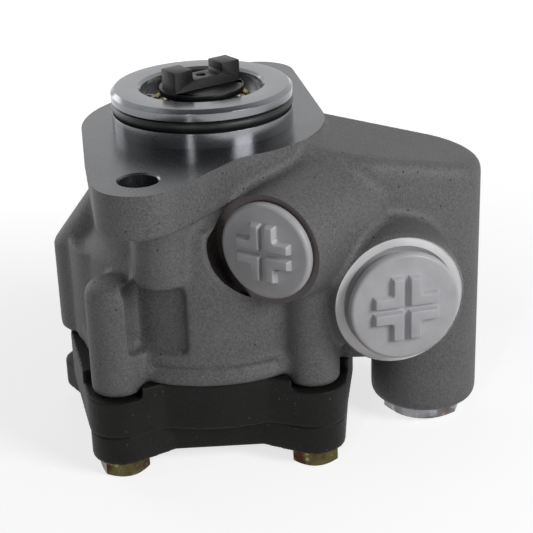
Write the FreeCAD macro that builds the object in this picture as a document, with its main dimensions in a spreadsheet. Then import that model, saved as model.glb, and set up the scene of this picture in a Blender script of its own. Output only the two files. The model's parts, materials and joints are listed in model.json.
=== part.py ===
import FreeCAD, Part
import math
import os
import Sketcher

# Vane pump for hydraulic power steering, with a two-hole flange, a claw drive
# and a flow-control valve beside the pump barrel.
# Row frame: origin in the middle of the flange's machined face, +Z along the
# drive shaft, out of the housing. Lengths in millimetres, angles in degrees.

Vector = FreeCAD.Vector
Z_AXIS = Vector(0, 0, 1)
DOC = FreeCAD.newDocument("steering_pump")
SHEET = DOC.addObject("Spreadsheet::Sheet", "Sizes")

DRIVING = [
    # mounting flange and centring spigot
    ("pilot_dia", 52.0, "centring spigot"),
    ("pilot_height", 11.0, "spigot above the flange face"),
    ("pilot_chamfer", 1.1, "chamfer of the spigot's end"),
    ("ring_groove_low", 4.3, "lower wall of the spigot's groove above the face"),
    ("ring_groove_width", 3.4, "width of the spigot's groove"),
    ("ring_cord", 3.0, "cord of the spigot's O-ring"),
    ("ring_proud", 0.2, "how far that O-ring stands out of the spigot"),
    ("flange_thick", 12.5, "flange plate"),
    ("flange_disc_dia", 70.0, "round middle of the flange"),
    ("hole_circle", 102.2, "circle of the two flange holes"),
    ("hole_turn", 70.0, "direction of the rear flange hole"),
    ("hole_dia", 10.5, "flange hole"),
    ("hole_chamfer", 0.45, "chamfer of a flange hole"),
    ("lug_dia", 24.2, "lug round a flange hole"),
    ("lug_hollow_dia", 16.0, "hollow between a lug and the round middle"),
    ("lug_hollow_turn", 39.0, "direction of that hollow from the lug's own"),
    ("lug_hollow_gap", 0.2, "straight run between that hollow and the middle"),
    ("rib_reach", 36.0, "rib under a lug, from the shaft"),
    ("rib_turn", 68.4, "direction of the rear rib"),
    ("rib_dia", 16.0, "rib under a lug"),
    # pump barrel
    ("neck_dia", 67.0, "barrel below the flange"),
    ("shoulder_top", 31.0, "depth where the shoulder of the barrel starts"),
    ("shoulder_low", 35.0, "depth where the barrel has its full size"),
    ("barrel_dia", 74.6, "barrel"),
    ("side_offset", 19.5, "middle of a side bulge from the shaft"),
    ("side_shift", 3.0, "side bulges lie turned by this much"),
    ("side_dia", 45.0, "side bulge"),
    ("rim_dia", 79.8, "rim at the open end"),
    ("rim_height", 6.0, "height of that rim"),
    ("barrel_depth", 66.0, "depth of the open end below the flange face"),
    ("panel_dia", 77.6, "raised front panel"),
    ("panel_start", 239.0, "direction of the panel's left edge"),
    ("panel_span", 58.5, "angle that the panel takes"),
    ("panel_lift", 6.5, "lower end of the panel above the open end"),
    ("panel_top", 20.0, "depth of the panel's upper end"),
    ("bulge_out", 38.0, "left bulge from the shaft"),
    ("bulge_side", 8.0, "left bulge towards the rear"),
    ("bulge_dia", 18.0, "left bulge"),
    ("bulge_top", 20.0, "depth where the left bulge leaves the neck"),
    ("bulge_full", 38.0, "depth where it has its full reach"),
    # bolts of the rear covers
    ("bolt_x", 28.0, "cover bolt from the shaft, across"),
    ("bolt_y", 31.0, "cover bolt from the shaft, fore and aft"),
    ("bolt_dia", 8.0, "cover bolt"),
    ("bolt_gap", 0.3, "clearance hole over the bolt, each side"),
    ("thread_gap", 0.05, "gap that stands for a thread, each side"),
    ("bolt_head_flats", 13.0, "bolt head across flats"),
    ("bolt_head_height", 5.3, "bolt head"),
    ("bolt_length", 45.0, "bolt under its head"),
    ("bolt_chamfer", 0.8, "chamfer at a bolt's end"),
    ("tap_spare", 2.0, "tapped hole beyond the bolt's end"),
    ("column_dia", 15.4, "column round a cover bolt"),
    ("column_top", 34.5, "depth of the column's top"),
    ("column_round", 5.0, "rounding of the column's top"),
    ("column_drop", 2.7, "foot of a column below the open end"),
    ("foot_gap", 0.4, "gap round a column's foot in the rear body"),
    # rear body and end cover
    ("ear_gap", 0.6, "gap between a column's foot and an ear"),
    ("ear_dia", 19.0, "ear of the rear body"),
    ("rear_dia", 76.0, "middle of the rear body"),
    ("rear_side_offset", 20.0, "middle of its left side bulge from the shaft"),
    ("rear_right_offset", 18.2, "middle of its right side bulge from the shaft"),
    ("rear_side_shift", 4.0, "side bulges of the rear body lie turned by this"),
    ("rear_side_dia", 48.0, "side bulge of the rear body"),
    ("rear_hollow_dia", 6.0, "hollow beside an ear of the rear body"),
    ("rear_hollow_gap", 0.5, "straight run between that hollow and the middle"),
    ("rear_hollow_turn", 69.6, "direction of that hollow"),
    ("rear_thick", 14.6, "rear body"),
    ("cover_ear_dia", 18.2, "ear of the end cover"),
    ("cover_dia", 66.0, "middle of the end cover"),
    ("cover_side_offset", 18.4, "middle of its side bulge from the shaft"),
    ("cover_side_dia", 46.0, "side bulge of the end cover"),
    ("cover_hollow_dia", 7.0, "hollow beside an ear of the end cover"),
    ("cover_hollow_gap", 1.6, "straight run between that hollow and the middle"),
    ("cover_hollow_turn", 72.0, "direction of that hollow"),
    ("cover_thick", 8.9, "end cover"),
    ("cover_lug_x", 41.5, "left lug of the end cover, across"),
    ("cover_lug_y", 13.5, "left lug of the end cover, fore and aft"),
    ("cover_lug_dia", 12.0, "left lug of the end cover"),
    ("cover_neck_x", 46.5, "hollow beside that lug, across"),
    ("cover_neck_y", -5.0, "hollow beside that lug, fore and aft"),
    ("cover_neck_dia", 16.0, "hollow beside that lug"),
    ("pocket_depth", 1.0, "depth of the pressure pocket behind the cartridge"),
    ("pocket_edge", 0.9, "wall between that pocket and a dowel pin"),
    ("cover_pocket_dia", 24.0, "pocket of the end cover behind the shaft"),
    ("cover_pocket_depth", 3.0, "depth of that pocket"),
    # valve block
    ("valve_x", 64.0, "axis of the flow-control valve, across"),
    ("valve_y", -5.0, "axis of the flow-control valve, fore and aft"),
    ("valve_dia", 32.0, "valve barrel"),
    ("valve_depth", 89.0, "depth of the valve barrel's lower face"),
    ("valve_round", 2.5, "rounding of the valve barrel's lower edge"),
    ("block_top", 3.0, "depth of the block's top at the flange"),
    ("block_slope", 12.4, "fall of the block's top towards the valve"),
    ("block_round", 4.0, "rounding of the block's upper edges"),
    ("block_root_x", 30.0, "inner end of the block, across"),
    ("block_root_dia", 41.0, "inner end of the block"),
    ("block_front_x", 44.0, "front swelling of the block, across"),
    ("block_front_y", -13.0, "front swelling of the block, fore and aft"),
    ("block_front_dia", 28.0, "front swelling of the block"),
    ("valve_bore", 19.0, "spool bore"),
    ("valve_stop", 31.0, "depth of the spool's upper stop"),
    ("valve_head_bore", 14.0, "bore above that stop"),
    ("valve_head_top", 20.0, "depth of that bore's upper end"),
    ("valve_thread_dia", 22.0, "thread of the valve plug"),
    ("valve_thread_length", 11.5, "length of that thread"),
    ("plug_flats", 22.0, "valve plug across flats"),
    ("plug_hex_height", 3.1, "hexagon of the valve plug"),
    ("plug_collar_dia", 24.3, "collar of the valve plug"),
    ("plug_collar_height", 1.4, "collar of the valve plug"),
    # outlet port, facing front left
    ("outlet_x", 15.7, "outlet face, across"),
    ("outlet_y", -41.5, "outlet face, fore and aft"),
    ("outlet_z", -24.0, "outlet axis height"),
    ("outlet_turn", -33.5, "direction of the outlet from straight ahead"),
    ("outlet_boss_dia", 31.2, "outlet boss at its face"),
    ("outlet_root_dia", 41.4, "outlet boss at its root"),
    ("outlet_round", 1.0, "rounding of the outlet boss"),
    ("outlet_boss_length", 30.0, "outlet boss behind its face"),
    ("outlet_face_dia", 32.8, "spot-face of the outlet"),
    ("outlet_cut", 24.0, "reach of the spot-face cutter in front of the face"),
    ("outlet_thread_dia", 18.0, "outlet thread"),
    ("outlet_thread_depth", 14.0, "depth of the outlet thread"),
    ("gallery_dia", 9.0, "pressure gallery"),
    # inlet port, facing front
    ("inlet_x", 51.8, "inlet face, across"),
    ("inlet_y", -38.0, "inlet face, fore and aft"),
    ("inlet_z", -42.5, "inlet axis height"),
    ("inlet_turn", 11.0, "direction of the inlet from straight ahead"),
    ("inlet_boss_dia", 38.6, "inlet boss at its face"),
    ("inlet_root_dia", 45.0, "inlet boss at its root"),
    ("inlet_round", 1.4, "rounding of the inlet boss"),
    ("inlet_boss_length", 34.0, "inlet boss behind its face"),
    ("inlet_face_dia", 37.4, "spot-face of the inlet"),
    ("inlet_chamfer", 3.0, "chamfer between the spot-face and the inlet thread"),
    ("inlet_thread_dia", 26.0, "inlet thread"),
    ("inlet_thread_depth", 16.0, "depth of the inlet thread"),
    ("suction_dia", 13.0, "suction gallery"),
    ("suction_end", 24.0, "end of the inlet drilling behind the face"),
    ("bypass_dia", 6.0, "return drilling from the valve to the suction side"),
    ("bypass_y", -10.5, "that drilling, fore and aft"),
    ("bypass_z", -45.0, "height of that drilling"),
    ("face_proud", 0.4, "casting in front of the ports' spot-faces"),
    # shipping plugs in the two ports
    ("outlet_plug_dia", 27.5, "head of the outlet plug"),
    ("outlet_plug_head", 2.2, "thickness of that head"),
    ("outlet_grip_reach", 4.2, "length of its grip ribs"),
    ("outlet_grip_width", 3.8, "width of its grip ribs"),
    ("inlet_plug_dia", 31.6, "head of the inlet plug"),
    ("inlet_plug_head", 2.2, "thickness of that head"),
    ("inlet_plug_stand", 3.1, "gap between that head and the spot-face"),
    ("inlet_grip_reach", 4.9, "length of its grip ribs"),
    ("inlet_grip_width", 4.3, "width of its grip ribs"),
    ("plug_stem", 9.0, "reach of a plug into its thread"),
    ("plug_wall", 1.6, "wall of a plug's stem"),
    ("plug_round", 1.2, "rounding of a plug's head"),
    ("grip_slot", 1.2, "slot between the grip ribs"),
    ("grip_height", 1.8, "height of a grip rib"),
    # drive shaft and its bearings
    ("shaft_dia", 15.0, "shaft at the ball bearing"),
    ("stub_dia", 11.0, "front end of the shaft, in the claw coupling"),
    ("stub_top", 10.1, "top of that end above the flange face"),
    ("tail_dia", 13.0, "rear end of the shaft"),
    ("tail_reach", 13.0, "rear end of the shaft below the open end"),
    ("shaft_chamfer", 0.6, "chamfer of the shaft's ends"),
    ("centre_dia", 2.8, "centre hole"),
    ("centre_depth", 3.0, "depth of the shaft's centre hole"),
    ("spline_width", 2.4, "width of a spline groove"),
    ("spline_depth", 1.2, "depth of a spline groove"),
    ("spline_lead", 2.0, "spline grooves beyond the rotor's faces"),
    ("running_gap", 0.05, "running clearance, each side"),
    ("press_gap", 0.02, "gap that stands for a pressed seat, each side"),
    ("bearing_dia", 35.0, "ball bearing outside"),
    ("bearing_width", 11.0, "ball bearing"),
    ("bearing_top", 7.0, "upper face of the ball bearing"),
    ("race_wall", 3.4, "thickness of a bearing ring"),
    ("ball_dia", 5.9, "ball"),
    ("ball_gap", 0.05, "play of a ball, each side"),
    ("cage_wall", 1.8, "wall of the ball cage"),
    ("cage_height", 7.8, "height of the ball cage"),
    ("clip_thick", 1.5, "retaining ring"),
    ("clip_depth", 1.0, "depth of the retaining ring's groove"),
    ("clip_width", 2.2, "radial width of the retaining ring"),
    ("clip_open", 36.0, "opening of the retaining ring"),
    ("clip_eye_dia", 4.4, "eye at each end of the retaining ring"),
    ("clip_eye_hole", 1.8, "hole in such an eye"),
    ("mouth_chamfer", 0.8, "chamfer at the mouth of the bearing bore"),
    ("seal_dia", 30.0, "shaft seal outside"),
    ("seal_width", 7.0, "shaft seal"),
    ("seal_wall", 1.6, "walls of the shaft seal"),
    ("seal_lip", 1.2, "height of the sealing lip"),
    ("seal_space", 0.5, "space between ball bearing and shaft seal"),
    ("bush_wall", 1.5, "wall of a plain bush"),
    ("bush_space", 1.5, "space between shaft seal and front bush"),
    ("rear_bush_length", 10.0, "rear bush"),
    ("shaft_space", 1.0, "free space round the shaft"),
    # claw coupling
    ("claw_dia", 24.3, "disc of the claw coupling"),
    ("claw_disc_low", 8.9, "underside of that disc above the flange face"),
    ("claw_disc_top", 10.7, "upper face of that disc above the flange face"),
    ("claw_hub_dia", 19.0, "hub of the claw"),
    ("claw_top", 16.7, "top of the claws above the flange face"),
    ("claw_floor", 13.6, "floor between the claws above the flange face"),
    ("claw_width", 6.9, "width of the claws"),
    ("claw_notch", 9.8, "distance between the claws"),
    ("claw_reach", 23.2, "length over both claws"),
    ("claw_turn", 33.0, "direction of the claws"),
    # pumping cartridge
    ("cartridge_dia", 65.0, "bore for the cartridge"),
    ("plate_space", 2.4, "free height below the rear plate, for its spring"),
    ("seat_gap", 0.1, "gap round the cartridge's parts"),
    ("front_plate_thick", 6.0, "front pressure plate"),
    ("cam_width", 15.0, "cam ring"),
    ("rear_plate_thick", 5.6, "rear pressure plate"),
    ("side_gap", 0.05, "side clearance of rotor and vanes"),
    ("cam_wall", 9.0, "wall of the cam ring across its small axis"),
    ("cam_lift", 2.8, "rise of the cam"),
    ("rotor_gap", 0.6, "gap between rotor and cam ring at the small axis"),
    ("vane_thick", 1.8, "vane"),
    ("vane_gap", 0.3, "drawn-in vane within the small axis of the cam ring"),
    ("vane_space", 2.0, "free slot behind a drawn-in vane"),
    ("slot_gap", 0.05, "clearance of a vane in its slot, each side"),
    ("slot_root", 12.6, "root of a vane slot from the axis"),
    ("slot_root_dia", 3.4, "round at the root of a vane slot"),
    ("kidney_shift", 1.2, "middle of a kidney port outside the small axis of the cam ring"),
    ("kidney_width", 4.0, "width of a kidney port"),
    ("kidney_span", 40.0, "angle of a kidney port"),
    ("kidney_start", 25.0, "direction where the first kidney port starts"),
    ("dowel_dia", 4.0, "dowel pin"),
    ("dowel_edge", 3.1, "middle of a dowel pin from the cartridge bore's wall"),
    ("dowel_turn", 90.0, "direction of a dowel pin"),
    ("dowel_depth", 3.0, "depth of a dowel pin in the rear body"),
    ("spring_play", 3.0, "pressure spring inside its pocket, both sides together"),
    ("spring_width", 8.0, "radial width of the pressure spring"),
    ("spring_thick", 1.2, "sheet of the pressure spring"),
    # flow-control valve
    ("spool_gap", 0.04, "running clearance of the spool, each side"),
    ("spool_length", 30.0, "spool"),
    ("spool_rest", 0.2, "spool below its stop at rest"),
    ("land_length", 8.0, "land at each end of the spool"),
    ("waist_dia", 13.0, "waist between the lands"),
    ("spool_bore", 10.0, "bore in the spool's lower end"),
    ("spool_bore_depth", 18.0, "depth of that bore"),
    ("relief_bore", 3.0, "passage through the spool's head"),
    ("relief_ball_dia", 6.0, "relief ball"),
    ("relief_seat_length", 6.0, "screwed relief seat"),
    ("ball_lift", 0.05, "relief ball above its seat at rest"),
    ("relief_wire", 0.9, "wire of the relief spring"),
    ("relief_coil_dia", 4.4, "middle of the relief spring's coils"),
    ("spring_turns", 5.0, "turns of the valve's springs"),
    ("spool_wire", 1.6, "wire of the spool spring"),
    ("spool_coil_dia", 14.4, "middle of the spool spring's coils"),
    # static seals
    ("seal_cord", 2.0, "cord of the static O-rings"),
    ("seal_room", 0.6, "spare width of their grooves"),
    ("seal_play", 0.02, "gap round a static O-ring"),
    ("body_ring_dia", 72.0, "middle of the O-ring above the rear body"),
    ("cover_ring_dia", 44.0, "middle of the O-ring in the end cover"),
]
DERIVED = [
    ("column_depth", "=barrel_depth + column_drop", "depth of a column's foot"),
    ("block_depth", "=barrel_depth", "depth of the block's underside"),
    ("bulge_low", "=barrel_depth", "depth of the left bulge's lower end"),
    ("panel_low", "=barrel_depth - panel_lift", "depth of the panel's lower end"),
    ("rear_depth", "=barrel_depth + rear_thick", "depth of the joint below the rear body"),
    ("cover_depth", "=rear_depth + cover_thick", "depth of the end cover's outer face"),
    ("cartridge_top", "=barrel_depth - plate_space - rear_plate_thick - cam_width - front_plate_thick",
     "depth of the cartridge bore's end wall"),
    ("spline_top", "=cartridge_top + front_plate_thick - spline_lead", "depth where the spline grooves start"),
    ("tail_top", "=cartridge_top + front_plate_thick + cam_width + spline_lead",
     "depth where the shaft's rear end starts"),
    ("tail_end", "=barrel_depth + tail_reach", "depth of the shaft's rear end"),
    ("front_bush_length",
     "=(cartridge_top + bearing_top - bearing_width - seal_space - seal_width - bush_space) / 2",
     "front bush"),
    ("rear_hollow_reach", "=(rear_dia + rear_hollow_dia) / 2 + rear_hollow_gap",
     "hollow beside an ear of the rear body, from the shaft"),
    ("cover_hollow_reach", "=(cover_dia + cover_hollow_dia) / 2 + cover_hollow_gap",
     "hollow beside an ear of the end cover, from the shaft"),
    ("dowel_radius", "=cartridge_dia / 2 - dowel_edge", "dowel pins from the axis"),
    ("pocket_dia", "=(dowel_radius - dowel_dia / 2 - pocket_edge) * 2", "pressure pocket behind the cartridge"),
    ("spring_outer_dia", "=pocket_dia - spring_play", "pressure spring outside"),
    ("spring_inner_dia", "=spring_outer_dia - spring_width * 2", "pressure spring inside"),
    ("cam_minor", "=cartridge_dia - seat_gap * 2 - cam_wall * 2", "bore of the cam ring across its small axis"),
    ("rotor_dia", "=cam_minor - rotor_gap * 2", "rotor"),
    ("vane_tip", "=cam_minor / 2 - vane_gap", "tip of a vane from the axis"),
    ("vane_height", "=vane_tip - slot_root - vane_space", "vane, from its foot to its tip"),
    ("kidney_radius", "=cam_minor / 2 + kidney_shift", "middle of a kidney port from the axis"),
]
for row, (alias, value, note) in enumerate(DRIVING + DERIVED, 1):
    SHEET.set("A%d" % row, note)
    SHEET.set("B%d" % row, str(value))
    SHEET.setAlias("B%d" % row, alias)
DOC.recompute()


class Dim:
    """A size that carries its value and the sheet expression it comes from."""

    def __init__(self, value, text):
        self.value = float(value)
        self.text = text

    def __add__(self, other):
        return Dim(self.value + number(other), "(%s + %s)" % (self.text, text(other)))

    def __sub__(self, other):
        return Dim(self.value - number(other), "(%s - %s)" % (self.text, text(other)))

    def __mul__(self, other):
        return Dim(self.value * number(other), "(%s * %s)" % (self.text, text(other)))

    def __truediv__(self, other):
        return Dim(self.value / number(other), "(%s / %s)" % (self.text, text(other)))

    def __radd__(self, other):
        return Dim(number(other) + self.value, "(%s + %s)" % (text(other), self.text))

    def __rsub__(self, other):
        return Dim(number(other) - self.value, "(%s - %s)" % (text(other), self.text))

    def __rmul__(self, other):
        return Dim(number(other) * self.value, "(%s * %s)" % (text(other), self.text))

    def __neg__(self):
        return Dim(-self.value, "(-1 * %s)" % self.text)


def number(size):
    """The plain value of a size or a number."""
    return size.value if isinstance(size, Dim) else float(size)


def text(size):
    """The expression of a size or a number."""
    return size.text if isinstance(size, Dim) else repr(float(size))


def sine(angle):
    return Dim(math.sin(math.radians(number(angle))), "sin(%s * 1 deg)" % text(angle))


def cosine(angle):
    return Dim(math.cos(math.radians(number(angle))), "cos(%s * 1 deg)" % text(angle))


def tangent(angle):
    return Dim(math.tan(math.radians(number(angle))), "tan(%s * 1 deg)" % text(angle))


def root(size):
    return Dim(math.sqrt(number(size)), "sqrt(%s)" % text(size))


class Sizes:
    """The sheet's cells as attributes."""

    def __getattr__(self, alias):
        return Dim(float(SHEET.get(alias)), "Sizes." + alias)


S = Sizes()


def bind(thing, path, size):
    """Tie a property to the sheet, unless it is a plain number."""
    if isinstance(size, Dim):
        thing.setExpression(path, size.text)


def plane_of(piece, role):
    """One of the planes or axes of the piece's own origin."""
    return [item for item in piece.Origin.OriginFeatures if item.Role == role][0]


def body(label, x=0, y=0, z=0, turn=0):
    """A new piece at its place, turned about the vertical."""
    piece = DOC.addObject("PartDesign::Body", label)
    piece.Label = label
    place(piece, x, y, z, turn)
    return piece


def place(thing, x=0, y=0, z=0, turn=0):
    """Put a thing at a point, turned about the vertical."""
    spin_ = FreeCAD.Rotation(Z_AXIS, number(turn))
    thing.Placement = FreeCAD.Placement(Vector(number(x), number(y), number(z)), spin_)
    for axis, size in (("x", x), ("y", y), ("z", z)):
        bind(thing, "Placement.Base." + axis, size)
    bind(thing, "Placement.Rotation.Angle", turn)


def sketch(piece, name, plane="XY_Plane", shift=(0, 0, 0), turn=0, about=Z_AXIS):
    """An empty sketch on one of the piece's own planes, shifted and turned in it."""
    drawn = piece.newObject("Sketcher::SketchObject", name)
    drawn.AttachmentSupport = [(plane_of(piece, plane), "")]
    drawn.MapMode = "FlatFace"
    base = Vector(*[number(size) for size in shift])
    drawn.AttachmentOffset = FreeCAD.Placement(base, FreeCAD.Rotation(about, number(turn)))
    for axis, size in zip("xyz", shift):
        bind(drawn, "AttachmentOffset.Base." + axis, size)
    bind(drawn, "AttachmentOffset.Rotation.Angle", turn)
    return drawn


def fix(drawn, kind, *where):
    """Add a dimension whose last argument is its size."""
    index = drawn.addConstraint(Sketcher.Constraint(kind, *where[:-1], number(where[-1])))
    bind(drawn, "Constraints[%d]" % index, where[-1])


def hold(drawn, index, point, x, y):
    """Hold a point of the sketch by its two coordinates."""
    fix(drawn, "DistanceX", -1, 1, index, point, x)
    fix(drawn, "DistanceY", -1, 1, index, point, y)


def polygon(drawn, corners):
    """A closed outline of straight lines; a third number at a corner rounds it."""
    spots = [Vector(number(corner[0]), number(corner[1]), 0) for corner in corners]
    total = len(corners)
    first = drawn.GeometryCount
    ends = []
    for i, corner in enumerate(corners):
        back = (spots[i - 1] - spots[i]).normalize()
        ahead = (spots[(i + 1) % total] - spots[i]).normalize()
        cut = number(corner[2]) / math.tan(back.getAngle(ahead) / 2) if len(corner) > 2 else 0
        ends.append((spots[i] + back * cut, spots[i] + ahead * cut))
    for i in range(total):
        drawn.addGeometry(Part.LineSegment(ends[i][1], ends[(i + 1) % total][0]), False)
    for i, corner in enumerate(corners):
        before = first + (i - 1) % total
        after = first + i
        if len(corner) == 2:
            drawn.addConstraint(Sketcher.Constraint("Coincident", before, 2, after, 1))
            hold(drawn, after, 1, *corner)
        else:
            round_corner(drawn, before, after, spots[i], ends[i], corner)
    return drawn


def round_corner(drawn, before, after, spot, ends, corner):
    """The tangent arc between two lines that would meet at a spot."""
    into, out = spot - ends[0], ends[1] - spot
    left = into.cross(out).z > 0
    side = Vector(-into.y, into.x, 0).normalize() * (1 if left else -1)
    middle = ends[0] + side * number(corner[2])
    angles = [math.atan2(end.y - middle.y, end.x - middle.x) for end in ends]
    ring = Part.Circle(middle, Z_AXIS, number(corner[2]))
    arc = drawn.addGeometry(Part.ArcOfCircle(ring, *(angles if left else angles[::-1])), False)
    enter, leave = (1, 2) if left else (2, 1)
    drawn.addConstraint(Sketcher.Constraint("Tangent", before, 2, arc, enter))
    drawn.addConstraint(Sketcher.Constraint("Tangent", arc, leave, after, 1))
    fix(drawn, "Radius", arc, corner[2])
    peak = drawn.addGeometry(Part.Point(spot), True)
    drawn.addConstraint(Sketcher.Constraint("PointOnObject", peak, 1, before))
    drawn.addConstraint(Sketcher.Constraint("PointOnObject", peak, 1, after))
    hold(drawn, peak, 1, corner[0], corner[1])


def circle(drawn, x, y, dia):
    """A full circle."""
    spot = Vector(number(x), number(y), 0)
    index = drawn.addGeometry(Part.Circle(spot, Z_AXIS, number(dia) / 2), False)
    hold(drawn, index, 3, x, y)
    fix(drawn, "Diameter", index, dia)
    return drawn


def belt(drawn, rounds):
    """A closed outline of arcs joined by tangent lines, drawn anticlockwise.

    Each round is x, y, diameter and a sign: +1 bulges out, -1 is a hollow.
    """
    spots = [Vector(number(x), number(y), 0) for x, y, dia, sign in rounds]
    reach = [sign * number(dia) / 2 for x, y, dia, sign in rounds]
    total = len(rounds)
    leave = []
    for i in range(total):
        j = (i + 1) % total
        step = spots[j] - spots[i]
        ahead = Vector(step).normalize()
        right = Vector(ahead.y, -ahead.x, 0)
        lean = (reach[i] - reach[j]) / step.Length
        leave.append(ahead * lean + right * math.sqrt(1 - lean * lean))
    first = drawn.GeometryCount
    for i in range(total):
        into, out = leave[i - 1], leave[i]
        if reach[i] < 0:
            into, out = out * -1, into * -1
        ring = Part.Circle(spots[i], Z_AXIS, abs(reach[i]))
        angles = [math.atan2(side.y, side.x) for side in (into, out)]
        drawn.addGeometry(Part.ArcOfCircle(ring, *angles), False)
    for i in range(total):
        j = (i + 1) % total
        line = Part.LineSegment(spots[i] + leave[i] * reach[i], spots[j] + leave[i] * reach[j])
        drawn.addGeometry(line, False)
    for i, (x, y, dia, sign) in enumerate(rounds):
        enter, away = (1, 2) if sign > 0 else (2, 1)
        after = first + total + i
        before = first + total + (i - 1) % total
        drawn.addConstraint(Sketcher.Constraint("Tangent", before, 2, first + i, enter))
        drawn.addConstraint(Sketcher.Constraint("Tangent", first + i, away, after, 1))
        hold(drawn, first + i, 3, x, y)
        fix(drawn, "Diameter", first + i, dia)
    return drawn


def hexagon(drawn, flats, turn):
    """A hexagon about the sketch's origin."""
    reach = flats / root(3)
    return polygon(drawn, [(reach * cosine(turn + 60.0 * i), reach * sine(turn + 60.0 * i)) for i in range(6)])


def feature(piece, kind, name, drawn, **settings):
    """A sketch-based feature of a piece."""
    made = piece.newObject("PartDesign::" + kind, name)
    made.Profile = drawn
    for key, size in settings.items():
        setattr(made, key, number(size) if isinstance(size, Dim) else size)
        bind(made, key, size)
    drawn.Visibility = False
    return made


def pad(piece, name, drawn, length):
    return feature(piece, "Pad", name, drawn, Length=length)


def pocket(piece, name, drawn, length, **more):
    return feature(piece, "Pocket", name, drawn, Length=length, **more)


def spin(piece, kind, name, drawn, angle=360.0):
    """Turn a sketch about its own vertical, adding or cutting."""
    return feature(piece, kind, name, drawn, ReferenceAxis=(drawn, ["V_Axis"]), Angle=angle)


def revolve(piece, name, corners, shift=(0, 0, 0)):
    """Add what a half section of radius and height sweeps about a vertical axis."""
    return spin(piece, "Revolution", name, polygon(sketch(piece, name + "_section", "XZ_Plane", shift), corners))


def bore(piece, name, corners, shift=(0, 0, 0)):
    """Cut what a half section of radius and height sweeps about a vertical axis."""
    return spin(piece, "Groove", name, polygon(sketch(piece, name + "_section", "XZ_Plane", shift), corners))


def polar(piece, name, sources, count, axis="Z_Axis"):
    """Repeat features round one of the piece's axes."""
    made = piece.newObject("PartDesign::PolarPattern", name)
    made.Originals = sources
    made.Axis = (plane_of(piece, axis), [""])
    made.Angle = 360
    made.Occurrences = count
    piece.Tip = made
    return made


def ring(label, inner, outer, low, high):
    """A plain ring about the shaft: two diameters and two heights."""
    piece = body(label, z=low)
    tall = high - low
    revolve(piece, label + "_ring", [(inner / 2, 0), (outer / 2, 0), (outer / 2, tall), (inner / 2, tall)])
    return piece


def o_ring(label, middle, cord, z, x=0, y=0):
    """An O-ring about a vertical axis."""
    piece = body(label, x, y, z)
    drawn = circle(sketch(piece, label + "_section", "XZ_Plane"), middle / 2, 0, cord - S.seal_play * 2)
    spin(piece, "Revolution", label + "_ring", drawn)
    return piece


def coil(label, middle, wire, turns, start, end, x=0, y=0):
    """A coil spring about a vertical axis, between the heights of its two seats."""
    play = S.seal_play
    piece = body(label, x, y, start + wire / 2 + play)
    drawn = circle(sketch(piece, label + "_section", "XZ_Plane"), middle / 2, 0, wire)
    made = piece.newObject("PartDesign::AdditiveHelix", label + "_coil")
    made.Profile = drawn
    made.ReferenceAxis = (drawn, ["V_Axis"])
    made.Mode = "height-turns-angle"
    tall = end - start - wire - play * 2
    made.Height = number(tall)
    made.Turns = number(turns)
    bind(made, "Height", tall)
    bind(made, "Turns", turns)
    drawn.Visibility = False
    return piece


def compound(label, members):
    """Several equal solids as one piece."""
    made = DOC.addObject("Part::Compound", label)
    made.Label = label
    made.Links = members
    return made


FRONT_LEFT, FRONT_RIGHT, REAR_RIGHT, REAR_LEFT = (-1, -1), (1, -1), (1, 1), (-1, 1)
CORNERS = (FRONT_LEFT, FRONT_RIGHT, REAR_RIGHT, REAR_LEFT)
GROOVE_ROOT = S.pilot_dia / 2 + S.ring_proud - S.ring_cord
SHAFT = S.shaft_dia / 2
BEARING_LOW = S.bearing_top - S.bearing_width
SEAL_LOW = BEARING_LOW - S.seal_space - S.seal_width
BUSH_TOP = SEAL_LOW - S.bush_space
FRONT_PLATE_LOW = -S.cartridge_top - S.front_plate_thick
CAM_LOW = FRONT_PLATE_LOW - S.cam_width
REAR_PLATE_LOW = CAM_LOW - S.rear_plate_thick
PITCH_DIA = (S.shaft_dia + S.bearing_dia) / 2
SPOOL_TOP = -S.valve_stop - S.spool_rest
SPOOL_LOW = SPOOL_TOP - S.spool_length
HOLE_X = S.hole_circle / 2 * cosine(S.hole_turn)
HOLE_Y = S.hole_circle / 2 * sine(S.hole_turn)
OUTLET = (S.outlet_x, S.outlet_y, S.outlet_z)
INLET = (S.inlet_x, S.inlet_y, S.inlet_z)


def make_housing():
    """Cast housing: valve block, flange, spigot, barrel, bolt columns and port bosses."""
    piece = body("housing")
    valve_block(piece)
    flange(piece)
    barrel(piece)
    bolt_columns(piece)
    left_bulge(piece)
    port_boss(piece, "outlet_boss", OUTLET, S.outlet_turn, S.outlet_boss_dia, S.outlet_root_dia,
              S.outlet_round, S.outlet_boss_length)
    port_boss(piece, "inlet_boss", INLET, S.inlet_turn, S.inlet_boss_dia, S.inlet_root_dia,
              S.inlet_round, S.inlet_boss_length)
    drive_bores(piece)
    valve_bores(piece)
    outlet_bores(piece)
    inlet_bores(piece)
    return piece


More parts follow.
